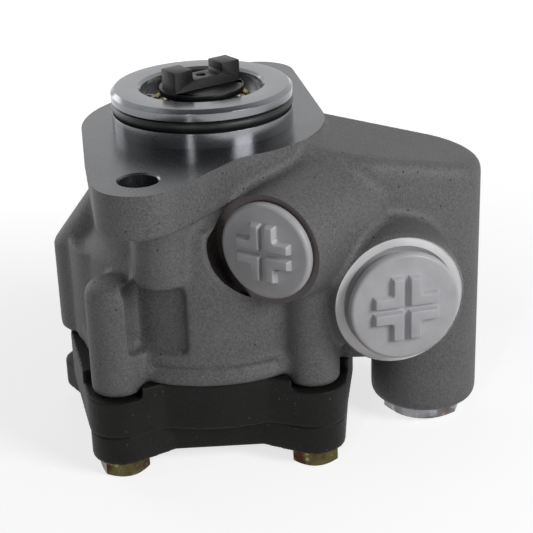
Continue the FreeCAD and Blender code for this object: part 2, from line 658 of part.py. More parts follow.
def valve_block(piece):
    """Block beside the barrel, with a sloping top, and the upright valve barrel."""
    rounds = [
        (S.valve_x, S.valve_y, S.valve_dia, 1), (S.block_root_x, S.valve_y, S.block_root_dia, 1),
        (S.block_front_x, S.block_front_y, S.block_front_dia, 1),
    ]
    tall = S.block_depth + S.flange_disc_dia
    pad(piece, "block", belt(sketch(piece, "block_plan", shift=(0, 0, -S.block_depth)), rounds), tall)
    start = S.flange_disc_dia / 2
    near = S.block_root_x - S.block_root_dia
    far = S.valve_x + S.valve_dia
    rise = (start - near) * tangent(S.block_slope)
    fall = (far - start) * tangent(S.block_slope)
    wedge = [(far, -S.block_top - fall), (far, tall), (near, tall), (near, rise - S.block_top)]
    pocket(piece, "slope", polygon(sketch(piece, "slope_section", "XZ_Plane"), wedge),
           S.valve_dia * 4, Midplane=True)
    DOC.recompute()
    base = piece.Tip
    top = max(base.Shape.Faces, key=lambda face: face.CenterOfMass.z)
    names = ["Edge%d" % (i + 1) for i, edge in enumerate(base.Shape.Edges)
             if any(edge.isSame(rim) for rim in top.Edges)]
    made = piece.newObject("PartDesign::Fillet", "block_round")
    made.Base = (base, names)
    made.Radius = number(S.block_round)
    bind(made, "Radius", S.block_round)
    over = S.flange_disc_dia
    bore(piece, "block_level", [(0, 0), (over, 0), (over, over), (0, over)])
    radius = S.valve_dia / 2
    revolve(piece, "valve_barrel", [(0, -S.valve_depth), (radius, -S.valve_depth, S.valve_round),
                                    (radius, -S.block_depth), (0, -S.block_depth)], (S.valve_x, 0, -S.valve_y))


def flange(piece):
    """Flange plate with two lugs, their ribs, their holes, and the grooved spigot."""
    reach = (S.flange_disc_dia + S.lug_hollow_dia) / 2 + S.lug_hollow_gap
    aim = S.hole_turn + S.lug_hollow_turn
    hollow_x, hollow_y = reach * cosine(aim), reach * sine(aim)
    rounds = [
        (-HOLE_X, -HOLE_Y, S.lug_dia, 1), (-hollow_x, -hollow_y, S.lug_hollow_dia, -1),
        (0, 0, S.flange_disc_dia, 1), (HOLE_X, HOLE_Y, S.lug_dia, 1),
        (hollow_x, hollow_y, S.lug_hollow_dia, -1), (0, 0, S.flange_disc_dia, 1),
    ]
    plan = belt(sketch(piece, "flange_plan", shift=(0, 0, -S.flange_thick)), rounds)
    pad(piece, "flange", plan, S.flange_thick)
    rib_x, rib_y = S.rib_reach * cosine(S.rib_turn), S.rib_reach * sine(S.rib_turn)
    for name, sign in (("front", -1), ("rear", 1)):
        rib = [(rib_x * sign, rib_y * sign, S.rib_dia, 1), (rib_x * sign / 2, rib_y * sign / 2, S.rib_dia * 2, 1)]
        plan = belt(sketch(piece, name + "_rib_plan", shift=(0, 0, -S.shoulder_low)), rib)
        pad(piece, name + "_rib", plan, S.shoulder_low - S.flange_thick)
        hole = [
            (0, 0), (S.hole_dia / 2 + S.hole_chamfer, 0), (S.hole_dia / 2, -S.hole_chamfer),
            (S.hole_dia / 2, -S.flange_thick), (0, -S.flange_thick),
        ]
        bore(piece, name + "_hole", hole, (HOLE_X * sign, 0, -HOLE_Y * sign))
    radius = S.pilot_dia / 2
    groove_top = S.ring_groove_low + S.ring_groove_width
    revolve(piece, "spigot", [
        (0, -S.flange_thick), (radius, -S.flange_thick), (radius, S.ring_groove_low),
        (GROOVE_ROOT, S.ring_groove_low), (GROOVE_ROOT, groove_top), (radius, groove_top),
        (radius, S.pilot_height - S.pilot_chamfer), (radius - S.pilot_chamfer, S.pilot_height),
        (0, S.pilot_height),
    ])


def barrel(piece):
    """Round pump barrel with side bulges, the rim at its open end and the front panel."""
    neck, full, rim = S.neck_dia / 2, S.barrel_dia / 2, S.rim_dia / 2
    rim_top = -S.barrel_depth + S.rim_height
    revolve(piece, "barrel", [
        (0, -S.flange_thick), (neck, -S.flange_thick), (neck, -S.shoulder_top),
        (full, -S.shoulder_low), (full, rim_top), (rim, rim_top), (rim, -S.barrel_depth),
        (0, -S.barrel_depth),
    ])
    sides = [(-S.side_offset, S.side_shift, S.side_dia, 1), (S.side_offset, -S.side_shift, S.side_dia, 1)]
    plan = belt(sketch(piece, "side_plan", shift=(0, 0, -S.barrel_depth)), sides)
    pad(piece, "side_bulges", plan, S.barrel_depth - S.shoulder_low)
    section = [
        (neck / 2, -S.panel_low), (S.panel_dia / 2, -S.panel_low), (S.panel_dia / 2, -S.shoulder_low),
        (full, -S.panel_top), (neck / 2, -S.panel_top),
    ]
    drawn = sketch(piece, "panel_section", "XZ_Plane", turn=S.panel_start, about=Vector(0, 1, 0))
    spin(piece, "Revolution", "panel", polygon(drawn, section), angle=S.panel_span)


def bolt_columns(piece):
    """Columns for the cover bolts with rounded tops and their webs to the barrel."""
    radius = S.column_dia / 2
    dome = [
        (0, -S.column_depth), (radius, -S.column_depth), (radius, -S.column_top, S.column_round),
        (0, -S.column_top),
    ]
    for index, (across, along) in enumerate(CORNERS, 1):
        x, y = S.bolt_x * across, S.bolt_y * along
        name = "column_%d" % index
        web = [(x, y, S.column_dia, 1), (x / 2, y / 2, S.column_dia, 1)]
        plan = belt(sketch(piece, name + "_plan", shift=(0, 0, -S.barrel_depth)), web)
        pad(piece, name + "_web", plan, S.barrel_depth - S.column_top - S.column_round)
        revolve(piece, name, dome, (x, 0, -y))


def left_bulge(piece):
    """Left bulge, which grows out of the neck on a slope."""
    inner = S.neck_dia / 2 - S.bulge_dia / 2
    low = circle(sketch(piece, "bulge_low_plan", shift=(0, 0, -S.bulge_full)),
                 -S.bulge_out, S.bulge_side, S.bulge_dia)
    high = circle(sketch(piece, "bulge_high_plan", shift=(0, 0, -S.bulge_top)),
                  -inner, S.bulge_side, S.bulge_dia)
    slope = piece.newObject("PartDesign::AdditiveLoft", "bulge_slope")
    slope.Profile = low
    slope.Sections = [high]
    slope.Ruled = True
    rounds = [(-S.bulge_out, S.bulge_side, S.bulge_dia, 1), (-inner, S.bulge_side, S.bulge_dia, 1)]
    plan = belt(sketch(piece, "bulge_plan", shift=(0, 0, -S.bulge_low)), rounds)
    pad(piece, "bulge", plan, S.bulge_low - S.bulge_full)


def port_boss(piece, name, where, turn, dia, root_dia, rounding, length):
    """Tapered boss on a level port axis, in front of the spot-face by a little."""
    front = -S.face_proud
    section = [(0, front), (dia / 2, front, rounding), (root_dia / 2, length), (0, length)]
    drawn = polygon(sketch(piece, name + "_section", shift=where, turn=turn), section)
    spin(piece, "Revolution", name, drawn)


def port_cut(piece, name, where, turn, section):
    """Bores of a port, from a half section of radius and depth behind its face."""
    drawn = polygon(sketch(piece, name + "_section", shift=where, turn=turn), section)
    spin(piece, "Groove", name, drawn)


def level_bore(piece, name, y, z, dia, x, length, **more):
    """A drilling along the X axis."""
    pocket(piece, name, circle(sketch(piece, name + "_plan", "YZ_Plane", (y, z, x)), 0, 0, dia), length, **more)


def drive_bores(piece):
    """Bores for bearing, retaining ring, seal, bush and cartridge, and the tapped holes."""
    clip_top = S.bearing_top + S.clip_thick
    outer, seat = S.bearing_dia / 2, S.seal_dia / 2
    bush = SHAFT + S.running_gap + S.bush_wall
    bush_low = BUSH_TOP - S.front_bush_length
    free = SHAFT + S.shaft_space
    bore(piece, "drive_bore", [
        (0, S.pilot_height), (outer + S.mouth_chamfer, S.pilot_height),
        (outer, S.pilot_height - S.mouth_chamfer), (outer, clip_top), (outer + S.clip_depth, clip_top),
        (outer + S.clip_depth, S.bearing_top), (outer, S.bearing_top), (outer, BEARING_LOW),
        (seat, BEARING_LOW), (seat, SEAL_LOW), (bush, SEAL_LOW), (bush, bush_low), (free, bush_low),
        (free, -S.cartridge_top), (S.cartridge_dia / 2, -S.cartridge_top),
        (S.cartridge_dia / 2, -S.barrel_depth), (0, -S.barrel_depth),
    ])
    recess = S.rear_dia / 2 + S.foot_gap
    bore(piece, "foot_recess", [(0, -S.column_depth), (recess, -S.column_depth), (recess, -S.barrel_depth),
                                (0, -S.barrel_depth)])
    tapped = S.bolt_dia / 2 + S.thread_gap
    end = S.bolt_length - S.cover_depth + S.tap_spare
    for index, (across, along) in enumerate(CORNERS, 1):
        section = [(0, -S.column_depth), (tapped, -S.column_depth), (tapped, end), (0, end + tapped / 2)]
        bore(piece, "tapped_%d" % index, section, (S.bolt_x * across, 0, S.bolt_y * -along))


def valve_bores(piece):
    """Stepped bore of the flow-control valve."""
    thread = (S.valve_thread_dia / 2) + S.thread_gap
    thread_end = S.valve_thread_length - S.valve_depth
    head = S.valve_head_bore / 2
    bore(piece, "valve_bore", [
        (0, -S.valve_depth), (thread, -S.valve_depth), (thread, thread_end),
        (S.valve_bore / 2, thread_end), (S.valve_bore / 2, -S.valve_stop), (head, -S.valve_stop),
        (head, -S.valve_head_top), (0, -S.valve_head_top + head / 3),
    ], (S.valve_x, 0, -S.valve_y))


def outlet_bores(piece):
    """Spot-face, thread and pressure gallery of the outlet."""
    thread = S.outlet_thread_dia / 2 + S.thread_gap
    face = S.outlet_face_dia / 2
    meet = (S.valve_y - S.outlet_y) / cosine(S.outlet_turn)
    port_cut(piece, "outlet", OUTLET, S.outlet_turn, [
        (0, -S.outlet_cut), (face, -S.outlet_cut), (face, 0), (thread, 0),
        (thread, S.outlet_thread_depth), (S.gallery_dia / 2, S.outlet_thread_depth),
        (S.gallery_dia / 2, meet), (0, meet),
    ])
    joint_x = S.outlet_x - meet * sine(S.outlet_turn)
    level_bore(piece, "pressure_gallery", S.valve_y, S.outlet_z, S.gallery_dia, joint_x,
               S.valve_x - joint_x, Reversed=True)


def inlet_bores(piece):
    """Spot-face and thread of the inlet, the suction gallery and the return drilling."""
    thread = S.inlet_thread_dia / 2 + S.thread_gap
    face = S.inlet_face_dia / 2
    port_cut(piece, "inlet", INLET, S.inlet_turn, [
        (0, -S.inlet_round), (face, -S.inlet_round), (face, 0), (thread + S.inlet_chamfer, 0),
        (thread, S.inlet_chamfer), (thread, S.inlet_thread_depth), (S.suction_dia / 2, S.inlet_thread_depth),
        (S.suction_dia / 2, S.suction_end), (0, S.suction_end),
    ])
    end_x = S.inlet_x - S.suction_end * sine(S.inlet_turn)
    end_y = S.inlet_y + S.suction_end * cosine(S.inlet_turn)
    level_bore(piece, "suction_gallery", end_y, S.inlet_z, S.suction_dia, end_x, end_x - S.cartridge_dia / 3)
    level_bore(piece, "bypass", S.bypass_y, S.bypass_z, S.bypass_dia, S.valve_x, S.valve_x - end_x)


def ear_holes(piece, depth):
    """Clearance holes for the four cover bolts, down from the piece's top."""
    for index, (across, along) in enumerate(CORNERS, 1):
        drawn = circle(sketch(piece, "ear_hole_%d_plan" % index), S.bolt_x * across, S.bolt_y * along,
                       S.bolt_dia + S.bolt_gap * 2)
        pocket(piece, "ear_hole_%d" % index, drawn, depth)


def ring_groove(piece, name, middle, top):
    """Groove for a static O-ring in an upper face."""
    half = (S.seal_cord + S.seal_room) / 2
    bore(piece, name, [(middle / 2 - half, top - S.seal_cord), (middle / 2 + half, top - S.seal_cord),
                       (middle / 2 + half, top), (middle / 2 - half, top)])


def make_rear_body():
    """Cast body behind the cartridge with four ears, the rear bush seat and a pressure pocket."""
    piece = body("rear_body", z=-S.barrel_depth)
    low = -S.rear_thick
    x, y, ear = S.bolt_x, S.bolt_y, S.ear_dia
    hx = S.rear_hollow_reach * cosine(S.rear_hollow_turn)
    hy = S.rear_hollow_reach * sine(S.rear_hollow_turn)
    hollow, middle, side = S.rear_hollow_dia, S.rear_dia, S.rear_side_dia
    rounds = [
        (x, -y, ear, 1), (S.rear_right_offset, -S.rear_side_shift, side, 1), (x, y, ear, 1),
        (hx, hy, hollow, -1), (0, 0, middle, 1), (-hx, hy, hollow, -1),
        (-x, y, ear, 1), (-S.rear_side_offset, S.rear_side_shift, side, 1), (-x, -y, ear, 1),
        (-hx, -hy, hollow, -1), (0, 0, middle, 1), (hx, -hy, hollow, -1),
    ]
    plan = belt(sketch(piece, "rear_body_plan", shift=(0, 0, low)), rounds)
    pad(piece, "rear_body_plate", plan, -low)
    seat_depth = S.column_drop + S.ear_gap
    for index, (across, along) in enumerate(CORNERS, 1):
        foot_x, foot_y = x * across, y * along
        seat = [(foot_x, foot_y, S.column_dia + S.foot_gap * 2, 1), (foot_x * 2, foot_y * 2, ear * 3, 1)]
        pocket(piece, "foot_seat_%d" % index, belt(sketch(piece, "foot_seat_%d_plan" % index), seat),
               seat_depth)
    pad(piece, "platform", circle(sketch(piece, "platform_plan", shift=(0, 0, -seat_depth)), 0, 0, middle),
        seat_depth)
    bush = S.tail_dia / 2 + S.running_gap + S.bush_wall
    bush_low = -S.pocket_depth - S.rear_bush_length
    free = S.tail_dia / 2 + S.shaft_space
    bore(piece, "rear_bore", [
        (0, 0), (S.pocket_dia / 2, 0), (S.pocket_dia / 2, -S.pocket_depth), (bush, -S.pocket_depth),
        (bush, bush_low), (free, bush_low), (free, low), (0, low),
    ])
    ring_groove(piece, "body_ring_groove", S.body_ring_dia, 0)
    for index, sign in enumerate((1, -1), 1):
        drawn = circle(sketch(piece, "dowel_%d_plan" % index),
                       S.dowel_radius * cosine(S.dowel_turn) * sign,
                       S.dowel_radius * sine(S.dowel_turn) * sign, S.dowel_dia + S.press_gap * 2)
        pocket(piece, "dowel_hole_%d" % index, drawn, S.dowel_depth + S.seat_gap)
    ear_holes(piece, -low)
    return piece


def make_rear_cover():
    """Cast end cover with a lug on its left side."""
    piece = body("rear_cover", z=-S.rear_depth)
    low = -S.cover_thick
    x, y, ear = S.bolt_x, S.bolt_y, S.cover_ear_dia
    hx = S.cover_hollow_reach * cosine(S.cover_hollow_turn)
    hy = S.cover_hollow_reach * sine(S.cover_hollow_turn)
    hollow, middle = S.cover_hollow_dia, S.cover_dia
    rounds = [
        (x, -y, ear, 1), (S.cover_side_offset, 0, S.cover_side_dia, 1), (x, y, ear, 1),
        (hx, hy, hollow, -1), (0, 0, middle, 1), (-hx, hy, hollow, -1),
        (-x, y, ear, 1), (-S.cover_lug_x, S.cover_lug_y, S.cover_lug_dia, 1),
        (-S.cover_neck_x, S.cover_neck_y, S.cover_neck_dia, -1), (-x, -y, ear, 1),
        (-hx, -hy, hollow, -1), (0, 0, middle, 1), (hx, -hy, hollow, -1),
    ]
    plan = belt(sketch(piece, "rear_cover_plan", shift=(0, 0, low)), rounds)
    pad(piece, "rear_cover_plate", plan, -low)
    relief = circle(sketch(piece, "cover_pocket_plan"), 0, 0, S.cover_pocket_dia)
    pocket(piece, "cover_pocket", relief, S.cover_pocket_depth)
    ring_groove(piece, "cover_ring_groove", S.cover_ring_dia, 0)
    ear_holes(piece, -low)
    return piece


def hex_head(piece, name, flats, low, height, turn):
    """Hexagonal head below the piece's own zero, with its outer corners turned off."""
    pad(piece, name, hexagon(sketch(piece, name + "_plan", shift=(0, 0, low)), flats, turn), height)
    corner = flats / root(3)
    drop = (corner - flats / 2) * tangent(30)
    bore(piece, name + "_chamfer", [(flats / 2, low), (corner, low), (corner, low + drop)])


def make_cover_bolts():
    """Four hexagon bolts, each with its head turned another way."""
    bolts = []
    for index, ((across, along), turn) in enumerate(zip(CORNERS, (47.6, 28.0, 27.0, 40.0)), 1):
        bolt = body("cover_bolt_%d" % index, S.bolt_x * across, S.bolt_y * along, -S.cover_depth, turn)
        radius = S.bolt_dia / 2
        revolve(bolt, "shank_%d" % index, [
            (0, -S.bolt_head_height / 2), (radius, -S.bolt_head_height / 2),
            (radius, S.bolt_length - S.bolt_chamfer), (radius - S.bolt_chamfer, S.bolt_length),
            (0, S.bolt_length),
        ])
        hex_head(bolt, "head_%d" % index, S.bolt_head_flats, -S.bolt_head_height, S.bolt_head_height, 0)
        bolts.append(bolt)
    return compound("cover_bolts", bolts)


def make_shaft():
    """Drive shaft with a stub for the claw, splines for the rotor and a thinner tail."""
    piece = body("shaft")
    radius = SHAFT - S.press_gap
    stub = S.stub_dia / 2 - S.press_gap
    tail = S.tail_dia / 2
    revolve(piece, "shaft_core", [
        (0, S.stub_top - S.centre_depth), (S.centre_dia / 2, S.stub_top), (stub - S.shaft_chamfer, S.stub_top),
        (stub, S.stub_top - S.shaft_chamfer), (stub, S.bearing_top), (radius, S.bearing_top),
        (radius, -S.tail_top), (tail, -S.tail_top), (tail, -S.tail_end + S.shaft_chamfer),
        (tail - S.shaft_chamfer, -S.tail_end), (0, -S.tail_end),
    ])
    half = S.spline_width / 2
    foot = SHAFT - S.spline_depth
    groove = polygon(sketch(piece, "spline_plan", shift=(0, 0, -S.spline_top)),
                     [(foot, -half), (SHAFT * 2, -half), (SHAFT * 2, half), (foot, half)])
    polar(piece, "splines", [pocket(piece, "spline", groove, S.tail_top - S.spline_top)], 8)
    return piece


def make_claw_coupling():
    """Claw coupling: hub, disc and a bar notched into two claws."""
    piece = body("claw_coupling", turn=S.claw_turn)
    hub, disc = S.claw_hub_dia / 2, S.claw_dia / 2
    revolve(piece, "claw_disc", [
        (0, S.bearing_top), (hub, S.bearing_top), (hub, S.claw_disc_low), (disc, S.claw_disc_low),
        (disc, S.claw_disc_top), (0, S.claw_disc_top),
    ])
    reach, half = S.claw_reach / 2, S.claw_width / 2
    end = root(reach * reach - half * half)
    bar = sketch(piece, "claw_bar_plan", shift=(0, 0, S.claw_disc_low))
    pad(piece, "claw_bar", polygon(bar, [(-end, -half), (end, -half), (end, half), (-end, half)]),
        S.claw_top - S.claw_disc_low)
    notch, tall = S.claw_notch / 2, S.claw_top
    gap = polygon(sketch(piece, "claw_notch_section", "XZ_Plane"), [
        (-notch, S.claw_floor, 1.0), (notch, S.claw_floor, 1.0), (notch, tall), (-notch, tall)])
    pocket(piece, "claw_notch", gap, S.claw_dia, Midplane=True)
    stub = S.stub_dia / 2
    seat = S.stub_top + S.seat_gap
    bore(piece, "claw_bore", [(0, S.bearing_top), (stub, S.bearing_top), (stub, seat),
                              (S.centre_dia / 2, seat), (S.centre_dia / 2, S.claw_floor), (0, S.claw_floor)])
    return piece


def make_bearing():
    """Ball bearing: two grooved rings, a cage with pockets and eight balls."""
    middle = (S.bearing_top + BEARING_LOW) / 2
    inner = ring("bearing_inner_ring", S.shaft_dia, S.shaft_dia + S.race_wall * 2, BEARING_LOW, S.bearing_top)
    outer = ring("bearing_outer_ring", S.bearing_dia - S.race_wall * 2, S.bearing_dia - S.press_gap * 2,
                 BEARING_LOW, S.bearing_top)
    for piece in (inner, outer):
        name = piece.Label + "_groove"
        drawn = sketch(piece, name + "_section", "XZ_Plane", (0, S.bearing_width / 2, 0))
        spin(piece, "Groove", name, circle(drawn, PITCH_DIA / 2, 0, S.ball_dia + S.ball_gap * 2))
    half = S.cage_height / 2
    cage = ring("bearing_cage", PITCH_DIA - S.cage_wall, PITCH_DIA + S.cage_wall, middle - half, middle + half)
    window = circle(sketch(cage, "cage_window_plan", "YZ_Plane", (0, half, PITCH_DIA)), 0, 0,
                    S.ball_dia + S.ball_gap * 2)
    polar(cage, "cage_windows", [pocket(cage, "cage_window", window, PITCH_DIA)], 8)
    balls = []
    for index in range(8):
        ball = DOC.addObject("Part::Sphere", "bearing_ball_%d" % (index + 1))
        ball.Radius = number(S.ball_dia / 2)
        bind(ball, "Radius", S.ball_dia / 2)
        place(ball, PITCH_DIA / 2 * cosine(45 * index), PITCH_DIA / 2 * sine(45 * index), middle)
        balls.append(ball)
    return [inner, outer, cage, compound("bearing_balls", balls)]


def make_circlip():
    """Retaining ring over the bearing, open at one side and with an eye at each end."""
    piece = body("circlip", z=S.bearing_top + S.press_gap, turn=205)
    outer = S.bearing_dia / 2 + S.clip_depth - S.press_gap
    inner = outer - S.clip_width
    tall = S.clip_thick - S.press_gap * 2
    drawn = sketch(piece, "clip_section", "XZ_Plane", turn=S.clip_open / 2, about=Vector(0, 1, 0))
    polygon(drawn, [(inner, 0), (outer, 0), (outer, tall), (inner, tall)])
    spin(piece, "Revolution", "clip", drawn, angle=360 - S.clip_open)
    for name, sign in (("left", 1), ("right", -1)):
        aim = S.clip_open / 2 * sign
        eye = (outer - S.clip_eye_dia / 2 - S.clip_depth) * 1.0
        x, y = eye * cosine(aim), eye * sine(aim)
        pad(piece, name + "_eye", circle(sketch(piece, name + "_eye_plan"), x, y, S.clip_eye_dia), tall)
        hole = circle(sketch(piece, name + "_hole_plan", shift=(0, 0, tall)), x, y, S.clip_eye_hole)
        pocket(piece, name + "_eye_hole", hole, tall)
    return piece


def make_shaft_seal():
    """Shaft seal: outer wall, floor and a lip round the shaft."""
    piece = body("shaft_seal", z=SEAL_LOW)
    outer, lip, wall = S.seal_dia / 2 - S.press_gap, SHAFT + S.running_gap, S.seal_wall
    under = S.seal_width - wall * 1.5
    revolve(piece, "seal", [
        (outer - wall, 0), (outer, 0), (outer, S.seal_width), (lip + wall, S.seal_width),
        (lip + wall, under), (lip, under - S.seal_lip), (lip, under - S.seal_lip * 2),
        (lip + wall * 2, S.seal_width - wall), (outer - wall, S.seal_width - wall),
    ])
    return piece


def make_rotor():
    """Slotted rotor with splines to the shaft."""
    piece = ring("rotor", S.shaft_dia + S.press_gap * 2, S.rotor_dia, CAM_LOW + S.side_gap,
                 FRONT_PLATE_LOW - S.side_gap)
    tall = S.cam_width - S.side_gap * 2
    half = S.vane_thick / 2 + S.slot_gap
    reach = S.rotor_dia
    slot = polygon(sketch(piece, "slot_plan", shift=(0, 0, tall)),
                   [(S.slot_root, -half), (reach, -half), (reach, half), (S.slot_root, half)])
    foot = circle(sketch(piece, "slot_root_plan", shift=(0, 0, tall)), S.slot_root, 0, S.slot_root_dia)
    polar(piece, "slots", [pocket(piece, "slot", slot, tall), pocket(piece, "slot_foot", foot, tall)], 10)
    half = S.spline_width / 2 - S.slot_gap
    deep = SHAFT - S.spline_depth + S.slot_gap
    tooth = polygon(sketch(piece, "tooth_plan"), [(deep, -half), (SHAFT + S.spline_depth, -half),
                                                  (SHAFT + S.spline_depth, half), (deep, half)])
    polar(piece, "teeth", [pad(piece, "tooth", tooth, tall)], 8)
    return piece


def make_vanes():
    """Ten vanes in the rotor's slots, drawn in within the small axis of the cam ring."""
    vanes = []
    half = S.vane_thick / 2
    tall = S.cam_width - S.side_gap * 2
    for index in range(10):
        piece = body("vane_%d" % (index + 1), z=CAM_LOW + S.side_gap, turn=36 * index)
        tip = S.vane_tip
        plan = polygon(sketch(piece, "vane_%d_plan" % (index + 1)), [
            (tip - S.vane_height, -half), (tip, -half, half * 0.8), (tip, half, half * 0.8),
            (tip - S.vane_height, half)])
        pad(piece, "vane_%d_plate" % (index + 1), plan, tall)
        vanes.append(piece)
    return vanes


def dowel_holes(piece, top, depth):
    """Two holes for the dowel pins."""
    for index, sign in enumerate((1, -1), 1):
        drawn = circle(sketch(piece, "%s_dowel_%d_plan" % (piece.Label, index), shift=(0, 0, top)),
                       S.dowel_radius * cosine(S.dowel_turn) * sign,
                       S.dowel_radius * sine(S.dowel_turn) * sign, S.dowel_dia + S.press_gap * 2)
        pocket(piece, "%s_dowel_%d" % (piece.Label, index), drawn, depth)


def make_cam_ring():
    """Cam ring with an oval bore."""
    outer = S.cartridge_dia - S.seat_gap * 2
    piece = ring("cam_ring", outer / 3, outer, CAM_LOW, FRONT_PLATE_LOW)
    oval = belt(sketch(piece, "cam_plan", shift=(0, 0, S.cam_width)),
                [(-S.cam_lift, 0, S.cam_minor, 1), (S.cam_lift, 0, S.cam_minor, 1)])
    pocket(piece, "cam", oval, S.cam_width)
    dowel_holes(piece, S.cam_width, S.cam_width)
    return piece


def make_plate(label, low, high, hole):
    """Pressure plate with four kidney ports and a middle hole."""
    piece = ring(label, hole, S.cartridge_dia - S.seat_gap * 2, low, high)
    half = S.kidney_width / 2
    drawn = sketch(piece, label + "_kidney_section", "XZ_Plane", turn=S.kidney_start, about=Vector(0, 1, 0))
    polygon(drawn, [(S.kidney_radius - half, 0), (S.kidney_radius + half, 0),
                    (S.kidney_radius + half, high - low), (S.kidney_radius - half, high - low)])
    polar(piece, label + "_kidneys", [spin(piece, "Groove", label + "_kidney", drawn, angle=S.kidney_span)], 4)
    dowel_holes(piece, high - low, high - low)
    return piece


def make_dowel_pins():
    """Two pins that hold the cartridge against turning."""
    low = -S.barrel_depth - S.dowel_depth
    tall = FRONT_PLATE_LOW + S.front_plate_thick / 2 - low
    pins = []
    for index, sign in enumerate((1, -1), 1):
        pin = DOC.addObject("Part::Cylinder", "dowel_pin_%d" % index)
        for key, size in (("Radius", S.dowel_dia / 2), ("Height", tall)):
            setattr(pin, key, number(size))
            bind(pin, key, size)
        place(pin, S.dowel_radius * cosine(S.dowel_turn) * sign,
              S.dowel_radius * sine(S.dowel_turn) * sign, low)
        pins.append(pin)
    return compound("dowel_pins", pins)


def make_pressure_spring():
    """Conical spring between rear body and rear plate."""
    low = -S.barrel_depth - S.pocket_depth
    piece = body("pressure_spring", z=low)
    outer, inner, sheet = S.spring_outer_dia / 2, S.spring_inner_dia / 2, S.spring_thick
    top = REAR_PLATE_LOW - low
    revolve(piece, "spring_disc", [(outer - sheet, 0), (outer, 0), (inner + sheet, top), (inner, top)])
    return piece


def make_spool():
    """Valve spool with two lands, a waist and the bore of the relief valve."""
    piece = body("spool", S.valve_x, S.valve_y, SPOOL_TOP)
    land, waist = S.valve_bore / 2 - S.spool_gap, S.waist_dia / 2
    end, pit = -S.spool_length, S.spool_bore_depth - S.spool_length
    revolve(piece, "spool_core", [
        (S.relief_bore / 2, 0), (land, 0), (land, -S.land_length), (waist, -S.land_length),
        (waist, end + S.land_length), (land, end + S.land_length), (land, end), (S.spool_bore / 2, end),
        (S.spool_bore / 2, pit), (S.relief_bore / 2, pit),
    ])
    vent = circle(sketch(piece, "vent_plan", "YZ_Plane", (0, pit - S.relief_bore, -land)), 0, 0, S.relief_bore)
    pocket(piece, "vent", vent, land * 2, Reversed=True)
    return piece


def make_relief():
    """Relief valve in the spool: screwed seat, ball and spring."""
    seat = body("relief_seat", S.valve_x, S.valve_y, SPOOL_LOW)
    radius, hole = S.relief_ball_dia / 2, S.relief_bore / 2
    outer, tall = S.spool_bore / 2 - S.thread_gap, S.relief_seat_length
    revolve(seat, "seat_screw", [(hole, 0), (outer, 0), (outer, tall), (radius, tall),
                                 (hole, tall - radius + hole)])
    middle = SPOOL_LOW + tall - radius + radius * root(2) + S.ball_lift
    ball = DOC.addObject("Part::Sphere", "relief_ball")
    ball.Label = "relief_ball"
    ball.Radius = number(radius)
    bind(ball, "Radius", radius)
    place(ball, S.valve_x, S.valve_y, middle)
    wire, coil_radius = S.relief_wire, S.relief_coil_dia / 2
    touch = radius + wire / 2
    start = middle + root(touch * touch - coil_radius * coil_radius) - wire / 2
    end = SPOOL_TOP - S.spool_length + S.spool_bore_depth
    spring = coil("relief_spring", S.relief_coil_dia, wire, S.spring_turns, start, end, S.valve_x, S.valve_y)
    return [seat, ball, spring]


def make_valve_plug():
    """Screw plug of the valve bore with a collar and a hexagon."""
    piece = body("valve_plug", S.valve_x, S.valve_y, -S.valve_depth)
    radius, collar = S.valve_thread_dia / 2, S.plug_collar_dia / 2
    ring_root = radius - S.seal_cord
    ring_top = S.seal_cord + S.seal_room
    thread = S.valve_thread_length - S.tap_spare / 2
    revolve(piece, "plug_core", [
        (0, -S.plug_collar_height), (collar, -S.plug_collar_height), (collar, 0), (ring_root, 0),
        (ring_root, ring_top), (radius, ring_top), (radius, thread - 1), (radius - 1, thread), (0, thread),
    ])
    height = S.plug_hex_height + S.plug_collar_height
    hex_head(piece, "plug_hexagon", S.plug_flats, -height, height, 12)
    return piece


def make_port_plug(label, where, turn, head_dia, head, stand, thread_dia, grip, width):
    """Shipping plug: rounded head, hollow stem in the thread and four angled grip ribs."""
    piece = body(label, *where, turn)
    outer, stem = head_dia / 2, thread_dia / 2 - S.thread_gap
    front = -head - stand
    drawn = polygon(sketch(piece, label + "_section"), [
        (0, front), (outer, front, S.plug_round), (outer, -stand), (stem, -stand),
        (stem, S.plug_stem), (stem - S.plug_wall, S.plug_stem), (stem - S.plug_wall, front + S.plug_wall * 2),
        (0, front + S.plug_wall * 2),
    ])
    spin(piece, "Revolution", label + "_core", drawn)
    near = (S.grip_slot + width) / 2
    far = near + grip
    arms = []
    for name, x, y in (("across", far, near), ("up", near, far)):
        plan = belt(sketch(piece, label + "_%s_plan" % name, "XZ_Plane", (0, 0, -front)),
                    [(near, near, width, 1), (x, y, width, 1)])
        arms.append(pad(piece, label + "_" + name, plan, S.grip_height))
    polar(piece, label + "_grips", arms, 4, "Y_Axis")
    return piece


